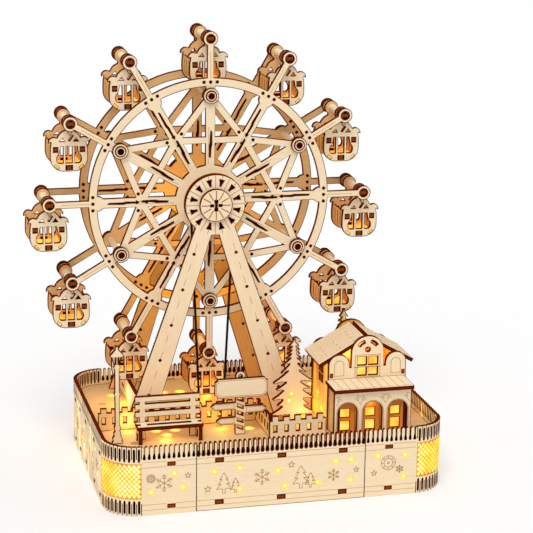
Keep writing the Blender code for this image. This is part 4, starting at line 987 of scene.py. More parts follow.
for index in range(GONDOLA_COUNT):
    angle = index * STEP
    ring, on_rim = clock_point(RING_CIRCLE, angle), clock_point(RIM_RADIUS, angle)
    side_adds += [bar_outline((0.0, 0.0), on_rim, ARM_WIDTH), bar_outline(on_rim, ring, 5.5),
                  circle_outline(*ring, RING_HALF, 32)]
    side_cuts += [circle_outline(*ring, 3.5, 24), turned_outline(SLIT, angle)]
    side_shade.append(turned_outline(SLIT_SHADE, angle))
    side_lines += [[clock_point(30.0, angle - 0.055), clock_point(60.0, angle - 0.027)],
                   [clock_point(100.0, angle), clock_point(122.0, angle)]]
    side_pins += turned_outline([(u, RIM_RADIUS) for u in (-5.5, 0.0, 5.5)], angle)
    if index % 2 == 0:
        continue
    node = clock_point(STAR_RADIUS, angle)
    side_adds += [bar_outline(node, clock_point(STAR_RADIUS, angle + 2 * STEP), STAR_BAR),
                  circle_outline(*clock_point(RIM_INNER, angle), BOSS_HALF, 28)]
    for turn in (-STEP, STEP):
        boss = clock_point(BOSS_CIRCLE, angle + turn)
        side_adds.append(bar_outline(node, boss, STAR_BAR))
        side_pins.append(tuple(n + (b - n) * 0.16 for n, b in zip(node, boss)))
    side_cuts += [turned_outline(cut, angle) for cut in (OUTER_SLIT, TRIANGLE)]
    side_shade += [turned_outline(line, angle) for line in (OUTER_SHADE, TRIANGLE_SHADE)]
    side_pins += turned_outline([(0.0, STAR_RADIUS - 4.2)], angle)
side_cuts += [circle_outline(*pin, 0.9, 10) for pin in side_pins]
side_plugs = [circle_outline(*pin, PIN_PLUG, 10) for pin in side_pins]
rims = [closed(circle_outline(0.0, 0.0, radius, 144)) for radius in (RIM_INNER, RIM_OUTER)]
side_adds += [[a, b, d, c] for a, b, c, d in zip(rims[0], rims[1], rims[0][1:], rims[1][1:])]
bosses = [clock_point(BOSS_CIRCLE, i * 2 * STEP) for i in range(GONDOLA_COUNT // 2)]
side_adds += [circle_outline(*boss, BOSS_HALF, 32) for boss in bosses]
print("Shapes in the drawing of a side:", len(side_adds), "and cuts:", len(side_cuts))

# %% Wheel sides with their bosses
def close_ends():
    bpy.ops.mesh.select_all(action="DESELECT")
    bpy.ops.mesh.select_non_manifold()
    bpy.ops.mesh.fill_holes(sides=0)


def lathe(name, rings, centre, look, sides=24, body="wheel", node=None):
    """A round piece about an axis along Y: circle primitives bridged in edit mode."""
    bpy.ops.object.select_all(action="DESELECT")
    made = []
    for radius, y in rings:
        bpy.ops.mesh.primitive_circle_add(vertices=sides, radius=radius * MM)
        ring = bpy.context.object
        ring.data.transform(Matrix.Rotation(math.pi / 2, 4, "X"))
        ring.data.transform(Matrix.Translation(Vector((centre[0], y, centre[1])) * MM))
        made.append(ring)
    piece = joined(name, made)
    in_edit_mode(lambda: bpy.ops.mesh.bridge_edge_loops(type="SINGLE"), close_ends)
    make_normals_outward(piece)
    bpy.ops.object.shade_smooth_by_angle(angle=math.radians(35.0))
    piece.data.materials.clear()
    piece.data.materials.append(look)
    return hand_over(piece, body, node=node)


def pin_rings(radius, y0, y1):
    """Rings of a short solid pin: almost closed at both ends."""
    return [(0.01, y0), (radius, y0), (radius, y1), (0.01, y1)]


def disc(name, centre, radius, y0, y1, hole=0.0, sides=32, node=None):
    cuts = [circle_outline(0.0, 0.0, hole, sides)] if hole else []
    return cut_sheet(name, [circle_outline(0.0, 0.0, radius, sides)], cuts,
                     placed("front", centre[0], y0, centre[1]), node, thick=y1 - y0, body="wheel")


HUB = (WHEEL_X, WHEEL_Z)
for label, y, outward in (("front", WHEEL_FRONT_Y, -1), ("back", WHEEL_BACK_Y, 1)):
    side = cut_sheet(f"wheel_side_{label}", side_adds, side_cuts,
                     placed("front", WHEEL_X, y, WHEEL_Z), f"wheel_{label}", body="wheel")
    tint_inner(side, HONEY["x"], outward)
    outside = on_face(WHEEL_X, faces_of(y, outward)[0], WHEEL_Z, outward)
    engraved(f"wheel_lines_{label}", side_lines, outside, 0.42, DASHED, body="wheel")
    # Near-black plugs in the pin holes and near-black strips in the slits: painted shade in them.
    prisms(f"wheel_pins_{label}", side_plugs, outside, *PLUG_DEPTH, HOLE_SHADE, "wheel")
    engraved(f"wheel_slits_{label}", side_shade, outside, 2.0, HOLE_SHADE, 1.8, -1.0, "wheel")
    near = y + outward * PLY
    start, end = (near - 0.9, near + PLY) if label == "front" else (near, near + PLY + 0.9)
    parts = []
    for u, v in bosses:
        spot = (WHEEL_X + u, WHEEL_Z + v)
        parts += [disc("boss", spot, BOSS_HALF, near, near + PLY, 4.2),
                  disc("boss_ring", spot, 4.2, start, end, 2.3),
                  lathe("boss_pin", pin_rings(2.3, near + 0.6, near + 2.4), spot, BURNT_EDGE, 16)]
        if label == "back":
            parts.append(lathe("tie_rod", [(2.4, WHEEL_FRONT_Y + PLY), (2.4, WHEEL_BACK_Y)], spot,
                               BIRCH["y"], 20))
    joined(f"wheel_bosses_{label}", parts)
disc("hub_spacer", HUB, 8.0, WHEEL_BACK_Y + PLY, WHEEL_BACK_Y + 14.0, 2.9)
print("Side sheet faces:", len(side.data.polygons))

# %% [markdown]
# The cap in front of the hub is a small disc with twelve burnt rays and a square tenon in a cross
# of four dark holes. The black cord runs in the groove of a pulley behind the front frame.

# %% Hub cap
CAP_FRONT = FRAME_FRONT_Y - GAP - PLY
disc("cap_disc", HUB, 13.5, CAP_FRONT, CAP_FRONT + PLY, sides=64, node="hub_cap")
on_cap = on_face(WHEEL_X, CAP_FRONT, WHEEL_Z)
rays = [[clock_point(5.2, i * STEP), clock_point(11.9, i * STEP)] for i in range(12)]
cross = [[(a - 0.9, b), (a + 0.9, b)] for a, b in ((0, 3.5), (0, -3.5), (-3.5, 0), (3.5, 0))]
engraved("cap_rays", rays, on_cap, 0.8, RAY, body="wheel")
# The four holes of the cross are near-black strips on the cap's face: painted shade in the holes.
engraved("cap_cross", cross, on_cap, 2.6, HOLE_SHADE, proud=0.08, body="wheel")
engraved("cap_tenon", [[(0.0, -1.6), (0.0, 1.6)]], on_cap, 2.4, BURNT_EDGE, proud=0.35,
         body="wheel")
print("Rays on the cap:", len(rays))

# %% Pulleys and cord
CORD_Y, CORD_RADIUS = 104.0, 1.0
CORD_TOP, CORD_LOW, MOTOR_Z = 18.3, 9.0, 22.0
lean = math.asin((CORD_TOP - CORD_LOW) / (WHEEL_Z - MOTOR_Z))
cord_line = arc_points(0.0, WHEEL_Z, CORD_TOP, -lean, math.pi + lean, 40)
cord_line += arc_points(0.0, MOTOR_Z, CORD_LOW, math.pi + lean, math.tau - lean, 20)
BLACK, tree, shader = new_material("Black round cord", {"Roughness": 0.9,
                                                        "Specular IOR Level": 0.12})
feed(shader, {"Base Color": add_ramp(tree, add_noise(tree, 900.0, 2.0), (
    (0.0, (0.003, 0.003, 0.003)), (1.0, (0.012, 0.011, 0.010))))})
curve = bpy.data.curves.new("drive_cord", "CURVE")
curve.dimensions = "3D"
curve.bevel_depth = CORD_RADIUS * MM
curve.bevel_resolution = 3
spline = curve.splines.new("POLY")
spline.points.add(len(cord_line) - 1)
for point, (u, v) in zip(spline.points, cord_line):
    point.co = ((WHEEL_X + u) * MM, CORD_Y * MM, v * MM, 1.0)
spline.use_cyclic_u = True
activate(linked("drive_cord", curve))
bpy.ops.object.convert(target="MESH")
cord = bpy.context.object
cord.data.materials.clear()
cord.data.materials.append(BLACK)
hand_over(cord, "base", "drive_belt")
lathe("hub_sheave", [(20.0, 99.5), (20.0, 102.0), (17.0, 102.0), (17.0, 106.0), (20.0, 106.0),
                     (20.0, 108.5), (8.0, 108.5), (8.0, 113.1)], HUB, BIRCH["x"], 48,
      node="hub_pulley")
print("Cord points:", len(cord_line))

# %% [markdown]
# A gondola is a small cabin: two panels with windows, and a bent shell between them. The panel has
# a round arch with a curled eave at each side, and hangs by its neck from a wooden axle. The shell
# is drawn flat with its slots, and bent round the outline. One cabin is modelled about its axle
# and then copied twelve times.

# %% Gondola panel
CABIN_HALF, CABIN_DROP, CABIN_CORNER = 15.3, 40.3, 10.9
cabin_right = [(0.0, -CABIN_DROP)]
cabin_right += arc_points(CABIN_HALF - CABIN_CORNER, CABIN_CORNER - CABIN_DROP, CABIN_CORNER,
                          -math.pi / 2, 0.0, 10)
cabin_right += [(15.3, -24.0), (15.0, -19.5), (14.3, -16.3), (15.2, -16.0), (15.9, -17.2)]
cabin_right += arc_points(12.25, -16.4, 4.4, -0.12, 2.15, 9)
cabin_right += arc_points(0.0, -15.9, 9.9, 0.36, math.pi / 2, 10)
cabin_outline = cabin_right + mirrored(cabin_right)[1:-1]
side_window = [(4.7, -33.4), (7.9, -33.4), (9.1, -32.7), (9.8, -31.2), (9.9, -29.2), (9.3, -27.4),
               (8.1, -26.0), (7.3, -24.2), (6.9, -21.6), (6.7, -19.8), (4.7, -19.8)]
cabin_cuts = [box_outline(-2.6, -33.4, 2.6, -19.8), side_window, mirrored(side_window),
              bar_outline((11.3, -35.0), (8.5, -37.8), 1.2),
              bar_outline((-11.3, -35.0), (-8.5, -37.8), 1.2),
              bar_outline((2.9, -10.8), (0.1, -15.0), 1.25),
              [(-8.0, -15.8), (-3.4, -15.8), (-5.0, -13.0)],
              [(3.6, -15.8), (8.0, -15.8), (5.7, -12.8)]]
tenon_holes = [(8.9, -24.4, 12.7, -20.3), (-12.7, -24.4, -8.9, -20.3), (-2.7, -39.0, 2.7, -35.3)]
tenon_wells = [(u0 + 0.01, v0 + 0.01, u1 - 0.01, v1 - 0.01) for u0, v0, u1, v1 in tenon_holes]
cabin_tenons = [(8.9, -23.5, 12.7, -21.2), (-12.7, -23.5, -8.9, -21.2), (-1.7, -39.0, 1.7, -35.3)]
cabin_cuts += boxes(*tenon_holes)
slit_lines = [[(11.1, -35.2), (8.7, -37.6)], [(-11.1, -35.2), (-8.7, -37.6)]]
print("Corners of a cabin panel:", len(cabin_outline))

# %% Bent shell of the cabin
SHELL_RADIUS, SHELL_STRAIGHT, SHELL_HALF, SHELL_TOP = 10.4, 11.0, 14.3, -18.0
QUARTER = SHELL_RADIUS * math.pi / 2
SHELL_FLAT = 2 * (SHELL_HALF - SHELL_RADIUS)
SHELL_LENGTH = 2 * (SHELL_STRAIGHT + QUARTER) + SHELL_FLAT
PANEL_FRONT, PANEL_BACK = WHEEL_FRONT_Y + 9.9, WHEEL_FRONT_Y + 43.9
SHELL_FRONT, SHELL_BACK = PANEL_FRONT + PLY, PANEL_BACK - PLY


def shell_point(u, inward):
    """A point at a length along the shell's outline, moved inward from its surface."""
    if u > SHELL_LENGTH / 2:
        x, z = shell_point(SHELL_LENGTH - u, inward)
        return -x, z
    if u <= SHELL_STRAIGHT:
        return -SHELL_HALF + inward, SHELL_TOP - u
    bottom = SHELL_TOP - SHELL_STRAIGHT - SHELL_RADIUS
    if u <= SHELL_STRAIGHT + QUARTER:
        angle = (u - SHELL_STRAIGHT) / SHELL_RADIUS
        reach = SHELL_RADIUS - inward
        return (SHELL_RADIUS - SHELL_HALF - reach * math.cos(angle),
                bottom + SHELL_RADIUS - reach * math.sin(angle))
    return SHELL_RADIUS - SHELL_HALF + u - SHELL_STRAIGHT - QUARTER, bottom + inward


def bent_shell(name, inset, start, end, depth, thick, look, edge, cuts=()):
    y0, y1 = SHELL_FRONT + inset, SHELL_BACK - inset
    steps = [first + QUARTER * i / 8 for i in range(9)
             for first in (SHELL_STRAIGHT, SHELL_STRAIGHT + QUARTER + SHELL_FLAT)]
    guides = [((u, y0 - 1), (u, y1 + 1)) for u in steps if start < u < end]

    def place(u, v, w):
        x, z = shell_point(u, depth + w)
        return (x, v, z)

    return cut_sheet(name, boxes((start, y0, end, y1)), cuts, place, face=look, thick=thick,
                     guides=guides, edge=edge)


shell_slots = []
for share in (0.22, 0.5, 0.78):
    y = SHELL_FRONT + (SHELL_BACK - SHELL_FRONT) * share
    shell_slots += boxes(*((u, y - 0.7, u + 12.0, y + 0.7) for u in (2.4, SHELL_LENGTH - 14.4)))
print("Length of the shell drawn flat:", round(SHELL_LENGTH, 1))

# %% One whole gondola, and its copies
def axle_disc(name, radius, y0, y1, face="x", more=()):
    return cut_sheet(name, [circle_outline(0.0, 0.0, radius, 32), *more], [],
                     placed("front", 0.0, y0, 0.0), face=face, thick=y1 - y0)


def one_gondola():
    parts = []
    for y, outward in ((PANEL_FRONT, -1), (PANEL_BACK - PLY, 1)):
        panel = cut_sheet("panel", [cabin_outline, box_outline(-3.0, -15.0, 3.0, 0.0),
                                    circle_outline(0.0, 0.0, RING_DISC, 32)], cabin_cuts,
                          placed("front", 0.0, y, 0.0))
        tint_inner(panel, HONEY["x"], outward)
        face = on_face(0.0, faces_of(y, outward)[0], 0.0, outward)
        # The tenon wells are near-black blocks in the tenon holes: painted shade.
        parts += [panel, prisms("tenons", boxes(*cabin_tenons), face, -2.7, -0.25, TENON),
                  engraved("slit_light", slit_lines, face, 1.1, WINDOW_GLOW, 2.4, -0.5),
                  prisms("tenon_wells", boxes(*tenon_wells), face, -2.9, -2.2, HOLE_SHADE)]
    lamp = SHELL_STRAIGHT + QUARTER * 0.45
    near, far = WHEEL_FRONT_Y + PLY + GAP, WHEEL_BACK_Y - GAP
    kite = [(-2.9, -5.0), (0.0, -10.2), (2.9, -5.0), (0.0, 0.0)]
    # The shell takes the amber copy, painted shade and warm light inside the cabin. The hanger
    # takes the honey copy, painted shade behind the ring.
    parts += [bent_shell("shell", 0.0, 0.0, SHELL_LENGTH, 0.0, 1.6, AMBER["y"], BURNT_EDGE,
                         shell_slots),
              bent_shell("lamp_strip", 1.0, lamp, SHELL_LENGTH - lamp, 1.75, 0.5, CABIN_GLOW,
                         CABIN_GLOW),
              axle_disc("hanger", RING_DISC, near, near + PLY, HONEY["z"], [kite]),
              axle_disc("collar", 5.0, near + PLY, near + PLY + 3.6),
              axle_disc("collar", RING_DISC, far - PLY, far),
              axle_disc("collar", 4.4, PANEL_BACK, far - PLY)]
    start, end = WHEEL_FRONT_Y + 0.9, WHEEL_BACK_Y + PLY - 0.9
    parts.append(lathe("axle", [(3.0, start), (3.0, end)], (0.0, 0.0), BIRCH["y"], 20, "base"))
    # The near-black discs at the axle's ends are painted shade in the holes of the rings.
    for y in (start, end):
        parts += [lathe("axle_end", pin_rings(2.95, y - 0.1, y + 0.1), (0.0, 0.0), HOLE_SHADE, 20,
                        "base"),
                  prisms("axle_tongue", boxes((-2.6, -1.45, 2.6, 1.45)), on_face(0.0, y, 0.0, 1),
                         -0.2, 0.2, TENON)]
    return joined("cabin", parts)


cabin = one_gondola()
for index in range(GONDOLA_COUNT):
    across, up = clock_point(RING_CIRCLE, index * STEP)
    label = f"{index + 1:02d}"
    mesh = cabin.data.copy()
    mesh.transform(Matrix.Translation(Vector((WHEEL_X + across, 0.0, WHEEL_Z + up)) * MM))
    hand_over(linked(f"cabin_{label}", mesh), f"car_{label}", node=f"gondola_{label}")
bpy.data.objects.remove(cabin)
print("Faces in one gondola:", len(mesh.polygons))

# %% [markdown]
# The house is a box with two ornate facades, front and back. Each has a tall middle arch and a
# lower arch at each side. Warm light stands in its windows. The roof is two boards that meet at
# the ridge, and the porch in front has three arches below a flat roof of planks.

# %% Facades
HOUSE_X, HOUSE_Y, HOUSE_DEPTH, HOUSE_HALF = 82.8, 41.5, 51.0, 33.1
EAVE, RIDGE, ROOF_SLOPE, ROOF_LENGTH = 64.6, 79.0, math.radians(29.5), 45.0
SIDE_ARCH, MIDDLE_ARCH = 8.9, 14.0
PORCH_X, PORCH_Y, PORCH_HALF, PORCH_HEIGHT = 80.6, 17.5, 32.5, 40.0
PORCH_CENTRES = (-21.3, 0.0, 21.3)


def window_panes(cu, cv, width, height, bar=1.6):
    """Four panes round a cross of bars."""
    return boxes(*((min(su * bar, su * width) / 2 + cu, min(sv * bar, sv * height) / 2 + cv,
                    max(su * bar, su * width) / 2 + cu, max(sv * bar, sv * height) / 2 + cv)
                   for su in (-1, 1) for sv in (-1, 1)))


def crown(radius, low=0.0, high=math.pi, count=28):
    """An arc about the middle of the facade's tall arch."""
    return arc_points(0.0, RIDGE - MIDDLE_ARCH, radius, low, high, count)


side_block = [(HOUSE_HALF - 2 * SIDE_ARCH, 30.0), (HOUSE_HALF, 30.0)]
side_block += arc_points(HOUSE_HALF - SIDE_ARCH, EAVE - SIDE_ARCH - 0.5, SIDE_ARCH, 0.0, math.pi,
                         18)
facade_adds = [box_outline(-HOUSE_HALF, 0.0, HOUSE_HALF, EAVE - SIDE_ARCH - 3.0), side_block,
               mirrored(side_block), [(-14.0, 40.0), (14.0, 40.0)] + crown(MIDDLE_ARCH)]
facade_cuts = window_panes(0.0, 53.2, 17.5, 16.0) + [circle_outline(0.0, 67.3, 2.0, 18)]
facade_cuts += [crown(10.6, low, high, 6) + crown(8.2, high, low, 6)
                for low, high in ((0.62, 1.28), (math.pi - 1.28, math.pi - 0.62))]
facade_lines = [closed(box_outline(-10.6, 44.0, 10.6, 62.6))]
for centre in (SIDE_ARCH - HOUSE_HALF, HOUSE_HALF - SIDE_ARCH):
    arch = arc_points(centre, 55.0, 4.0, 0.0, math.pi, 10)
    facade_lines.append(closed([(centre + 4.0, 46.0), *arch, (centre - 4.0, 46.0)]))
facade_tenons = boxes((1.0 - HOUSE_HALF, 44.6, 4.0 - HOUSE_HALF, 48.6),
                      (HOUSE_HALF - 4.0, 44.6, HOUSE_HALF - 1.0, 48.6))
back_panes = boxes(*((c - 4.2, v0, c + 4.2, v1) for c in PORCH_CENTRES
                     for v0, v1 in ((6.0, 15.0), (17.0, 25.0))))
upper_light, lower_light = boxes((-9.5, 44.5, 9.5, 62.0), (-28.0, 3.0, 28.0, 27.0))
for label, y, outward, panes, lights, light_y in (
        ("front", HOUSE_Y, -1, [], [upper_light], HOUSE_Y + PLY + 1.2),
        ("back", HOUSE_Y + HOUSE_DEPTH - PLY, 1, back_panes, [upper_light, lower_light],
         HOUSE_Y + HOUSE_DEPTH - PLY - 2.2)):
    facade = cut_sheet("facade_" + label, facade_adds, facade_cuts + panes,
                       placed("front", HOUSE_X, y, STANDING), "house_" + label, "z")
    tint_inner(facade, AMBER["z"], outward)
    face = on_face(HOUSE_X, faces_of(y, outward)[0], STANDING, outward)
    engraved("facade_lines_" + label, facade_lines, face, 0.4)
    prisms("facade_tenons_" + label, facade_tenons, face, -0.4, 0.08, TENON)
    plain_board("window_light_" + label, lights, placed("front", HOUSE_X, light_y, STANDING),
                WINDOW_GLOW)
print("Panes in the back facade:", 4 + len(back_panes))

# %% House sides, roof boards and plank lines
ROOM_DEPTH = HOUSE_DEPTH - 2 * PLY - 2 * GAP
ROOM_Y = HOUSE_Y + PLY + GAP
PLANK = 2.9
planks = [[(1.5, v), (ROOF_LENGTH - 0.8, v)] for v in np.arange(3.0, ROOM_DEPTH - 1.0, PLANK)]
joints = [[(10.0 + 12.4 * (i % 3), 3.1 + PLANK * i), (10.0 + 12.4 * (i % 3), 5.8 + PLANK * i)]
          for i in range(10)]
for label, side in (("left", -1), ("right", 1)):
    outer_x = HOUSE_X + side * (HOUSE_HALF - 1.0)
    u = outer_x - side * PLY / 2 - PLY / 2
    cut_sheet("house_wall_" + label, boxes((0.0, 0.0, ROOM_DEPTH, 56.0)),
              window_panes(ROOM_DEPTH / 2, 41.6, 12.0, 15.0), placed("side", u, ROOM_Y, STANDING),
              "house_side_" + label, HOUSE_WALL)
    on_wall = (lambda a, b, w, x=outer_x, s=side: (x + s * w, a, b))
    wall_spots = [(74.6, 65.4), (63.1, 55.3)]
    bulbs("house_bulbs_" + label, wall_spots, on_wall)
    halos("house_halos_" + label, wall_spots, on_wall, 8.0)
    plain_board("side_window_light_" + label,
                boxes((ROOM_DEPTH / 2 - 8, 33.0, ROOM_DEPTH / 2 + 8, 50.0)),
                placed("side", u + (PLY + 1.0 if side < 0 else -1.8), ROOM_Y, STANDING),
                WINDOW_GLOW)

    def on_roof(u, v, w, s=side, lift=0.0):
        c, d = math.cos(ROOF_SLOPE), math.sin(ROOF_SLOPE)
        w += lift
        return (HOUSE_X + s * (u * c + w * d), ROOM_Y + v,
                DECK_TOP + RIDGE - 3.5 - u * d + w * c)

    board = cut_sheet("roof_board_" + label, boxes((0.5, 0.0, ROOF_LENGTH, ROOM_DEPTH)), [],
                      on_roof, "house_roof_" + label)
    # The roof's underside takes the amber copy: painted shade and warm light inside the house.
    tint_faces(board, AMBER["x"], lambda normal: normal.z < 0.0)
    engraved("roof_lines_" + label, planks + joints,
             lambda u, v, w, s=side: on_roof(u, v, w, s, PLY), 0.42)
print("Lines on a roof board:", len(planks))

# %% Porch
porch_cuts, porch_lines = [], []
for centre in PORCH_CENTRES:
    porch_cuts.append([(centre - 8.0, -1.0), (centre + 8.0, -1.0),
                       *arc_points(centre, 22.5, 8.0, 0.0, math.pi, 20)])
    porch_lines.append([(centre + 9.2, 1.0), (centre + 9.2, 22.5),
                        *arc_points(centre, 22.5, 9.2, 0.0, math.pi, 14), (centre - 9.2, 1.0)])


def scroll(u, v, radius, hand):
    """A small curl, drawn as a spiral with a stem."""
    return [(u + hand * radius * (1.0 - i / 14) * math.cos(i * 0.55),
             v + radius * (1.0 - i / 14) * math.sin(i * 0.55)) for i in range(12)]


for u in (-31.0, -10.65, 10.65, 31.0):
    for hand in (-1, 1):
        if abs(u + hand * 3.5) < PORCH_HALF - 0.5:
            porch_lines += [scroll(u + hand * 2.6, 33.2, 1.9, hand),
                            [(u, 29.0), (u + hand * 1.6, 31.6)], [(u, 35.8), (u + hand * 3, 36.6)]]
cut_sheet("porch_arches", boxes((-PORCH_HALF, 0.0, PORCH_HALF, PORCH_HEIGHT)), porch_cuts,
          placed("front", PORCH_X, PORCH_Y, STANDING), "porch_front", "z")
engraved("porch_engraving", porch_lines, on_face(PORCH_X, PORCH_Y, STANDING), 0.4)
window_holes = boxes(*((c - 4.0, v0, c + 4.0, v1) for c in PORCH_CENTRES
                       for v0, v1 in ((5.0, 13.2), (16.2, 23.4))))
# The board behind the porch arches is painted deep orange: painted warm light inside the porch.
cut_sheet("porch_windows", boxes(*((c - 8.6, 0.3, c + 8.6, 31.6) for c in PORCH_CENTRES)),
          window_holes, placed("front", PORCH_X, PORCH_Y + 7.0, STANDING), thick=1.5,
          face=birch_face("Porch window board", "z", (0.90, 0.30, 0.03), (0.70, 0.20, 0.02)))
plain_board("porch_window_light", boxes(*((c - 5.0, 4.0, c + 5.0, 24.5) for c in PORCH_CENTRES)),
            placed("front", PORCH_X, PORCH_Y + 9.5, STANDING), WINDOW_GLOW)
# The porch's side walls take the honey copy: painted shade and warm light.
for label, side in (("left", -1), ("right", 1)):
    u = PORCH_X + side * (PORCH_HALF - 4.0) - PLY / 2
    cut_sheet("porch_wall_" + label, boxes((0.0, 0.0, 20.4, PORCH_HEIGHT)), [],
              placed("side", u, PORCH_Y + PLY + GAP, STANDING), "porch_side_" + label, HONEY["z"])
roof_y, roof_z = PORCH_Y - 4.0, STANDING + PORCH_HEIGHT + GAP
cut_sheet("porch_planks", boxes((-33.5, 0.0, 33.5, 27.7)), [],
          placed("flat", PORCH_X, roof_y, roof_z), "porch_roof", "y")
plank_lines = [[(u, 0.3), (u, 27.4)] for u in np.arange(-33.5 + 6.7, 32.5, 6.7)]
engraved("porch_plank_lines", plank_lines + [[(-33.2, 3.0), (33.2, 3.0)]],
         placed("flat", PORCH_X, roof_y, roof_z + PLY), 0.35)
print("Porch lines:", len(porch_lines))

# %% [markdown]
# The firs are two crossed plates. Their boughs hang, and a narrow cut parts each from the next.
# The crossing plate stays inside the facing one in front, and is whole behind. The lamp post is
# made in the same way, with a lantern at its top.

# %% Fir trees
BOUGH_TIPS = ((17.9, 6.0), (13.4, 13.2), (17.6, 18.6), (14.6, 27.0), (17.2, 33.0), (10.6, 41.5),
              (10.4, 47.6), (6.6, 53.4), (5.6, 57.6), (5.2, 61.2), (4.2, 64.6))
BOUGH_ROOTS = ((9.2, 11.6), (8.8, 17.4), (8.4, 25.4), (6.0, 32.6), (4.6, 42.4), (3.4, 48.4),
               (2.6, 53.6), (2.2, 57.2), (1.9, 60.4), (1.6, 63.4))
TREES = ((28.8, 74.0, 70.0, 18.0), (82.0, 110.0, 83.0, 16.0), (113.0, 120.0, 46.0, 12.0))


def fir_side(height, half):
    """One side of a fir, from the foot of the trunk to the tip."""
    right = [(0.0, 0.0), (2.8, 0.0), (2.8, 4.6), (6.0, 4.0), (6.8, 4.9), (10.0, 3.6), (10.9, 4.6),
             (14.4, 3.5), (15.0, 4.5), (17.4, 4.4)]
    for index, (tu, tv) in enumerate(BOUGH_TIPS):
        right += [(tu, tv - 0.7), (tu - 0.1, tv), (tu - 0.7, tv + 0.5)]
        if index == len(BOUGH_ROOTS):
            break
        ru, rv = BOUGH_ROOTS[index]
        nu, nv = BOUGH_TIPS[index + 1]
        du, dv = nu - ru, nv - 0.9 - rv
        right += [(tu + (ru - tu) * s, tv + (rv - tv) * s - 0.35) for s in (0.35, 0.7)]
        right += [(ru, rv), (ru + 0.15, rv + 0.8)]
        if du > 6.0:
            right += [(ru + du * s, rv + 0.8 + (dv - 0.8) * s + lift - 0.4) for s, lift in (
                (0.34, 0.5), (0.38, 1.0), (0.6, 0.3), (0.64, 0.8), (0.86, 0.2))]
        right.append((nu - 0.5, nv - 0.9))
    right += [(2.2, 66.6), (1.0, 68.2), (0.7, 69.4), (0.0, 70.0)]
    return [(u * half / 18.0, v * height / 70.0) for u, v in right]


def crossed_plates(name, node, x, y, right, cross, cuts, face, cross_face):
    """Two halved plates that stand across each other, as one piece."""
    joined(name, [
        cut_sheet(name, [right + mirrored(right)[1:-1]], cuts,
                  placed("front", x, y - PLY / 2, STANDING), face=face),
        cut_sheet(name, [cross], [], placed("side", x - PLY / 2, y, STANDING), face=cross_face)])
    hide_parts(node)


# The back firs and all crossing plates take the honey copy: painted shade.
for index, (x, y, height, half) in enumerate(TREES):
    right = fir_side(height, half)
    crossed_plates(f"fir_{index + 1}", f"tree_{index + 1}", x, y, right,
                   right + [(-1.35, height - 3.0), (-1.35, 0.0)], [],
                   HONEY["z"] if index else "z", HONEY["z"])
fir_spots = [(-3.5, 17.0), (-1.5, 22.8)]
on_fir = on_face(28.8, 74.0 - PLY / 2, STANDING)
bulbs("fir_bulbs", fir_spots, on_fir)
halos("fir_halos", fir_spots, on_fir, 5.0)
print("Corners of half a fir:", len(right))

# %% Lamp post
lamp_right = [(0.0, 0.0), (4.4, 0.0), (4.4, 1.4), (3.4, 2.3), (4.1, 3.8), (3.7, 5.6), (2.7, 6.8),
              (3.2, 8.2), (2.8, 9.8), (1.9, 10.9), (2.5, 12.0), (2.7, 13.4), (2.4, 14.8),
              (1.95, 15.7), (1.95, 40.0), (2.6, 41.0), (2.6, 42.4), (1.95, 43.4), (1.9, 62.0),
              (2.9, 64.0), (2.2, 65.4), (4.4, 72.5), (5.6, 73.4), (5.2, 74.6), (2.4, 77.6),
              (1.2, 79.0), (1.4, 80.4), (0.0, 82.0)]
lamp_cross = [(min(u, 1.3) if 15.0 < v < 63.0 else u, v) for u, v in lamp_right]
pane = [(0.7, 66.6), (2.1, 66.6), (3.4, 72.2), (0.7, 72.2)]
crossed_plates("lantern_post", "lamp_post", -123.6, 47.5, lamp_right,
               lamp_cross + [(-1.2, 79.0), (-1.2, 0.0)], [pane, mirrored(pane)], "z", "z")
print("Corners of half a lamp post:", len(lamp_right))

# %% [markdown]
# The fences are low boards with raised teeth along the top and a small opening under every other
# tooth. The bench has three slats in its back, two boards for the seat, and legs cut from one
# sheet. The signpost has three arrows and a board with notched corners, left plain.

# %% Fences
FENCE_HEIGHT, FENCE_PITCH = 15.0, 8.3


def fence_board(name, node, length, turn, x, y, tone):
    count = int(length / FENCE_PITCH)
    pitch = length / count
    adds, cuts = boxes((0.0, 0.0, length, FENCE_HEIGHT)), []
    for index in range(count):
        u = (index + 0.5) * pitch
        adds += boxes((u - pitch * 0.28, 14.0, u + pitch * 0.28, 18.2 if index % 2 else 19.0))
        cuts += boxes((u - 1.5, 5.5, u + 1.5, 11.2))
    cut_sheet(name, adds, cuts, placed(turn, x, y, STANDING), node, tone)


# The fences behind and at the side take the honey copy: painted shade.
fence_board("pickets_row", "fence_row", 132.0, "front", -134.0, 77.5, HONEY["x"])
fence_board("pickets_front", "fence_front", 47.2, "front", -2.0, 30.5, "x")
fence_board("pickets_side", "fence_side", 46.7, "side", -1.7, 33.8, HONEY["y"])
print("Fences: 3")

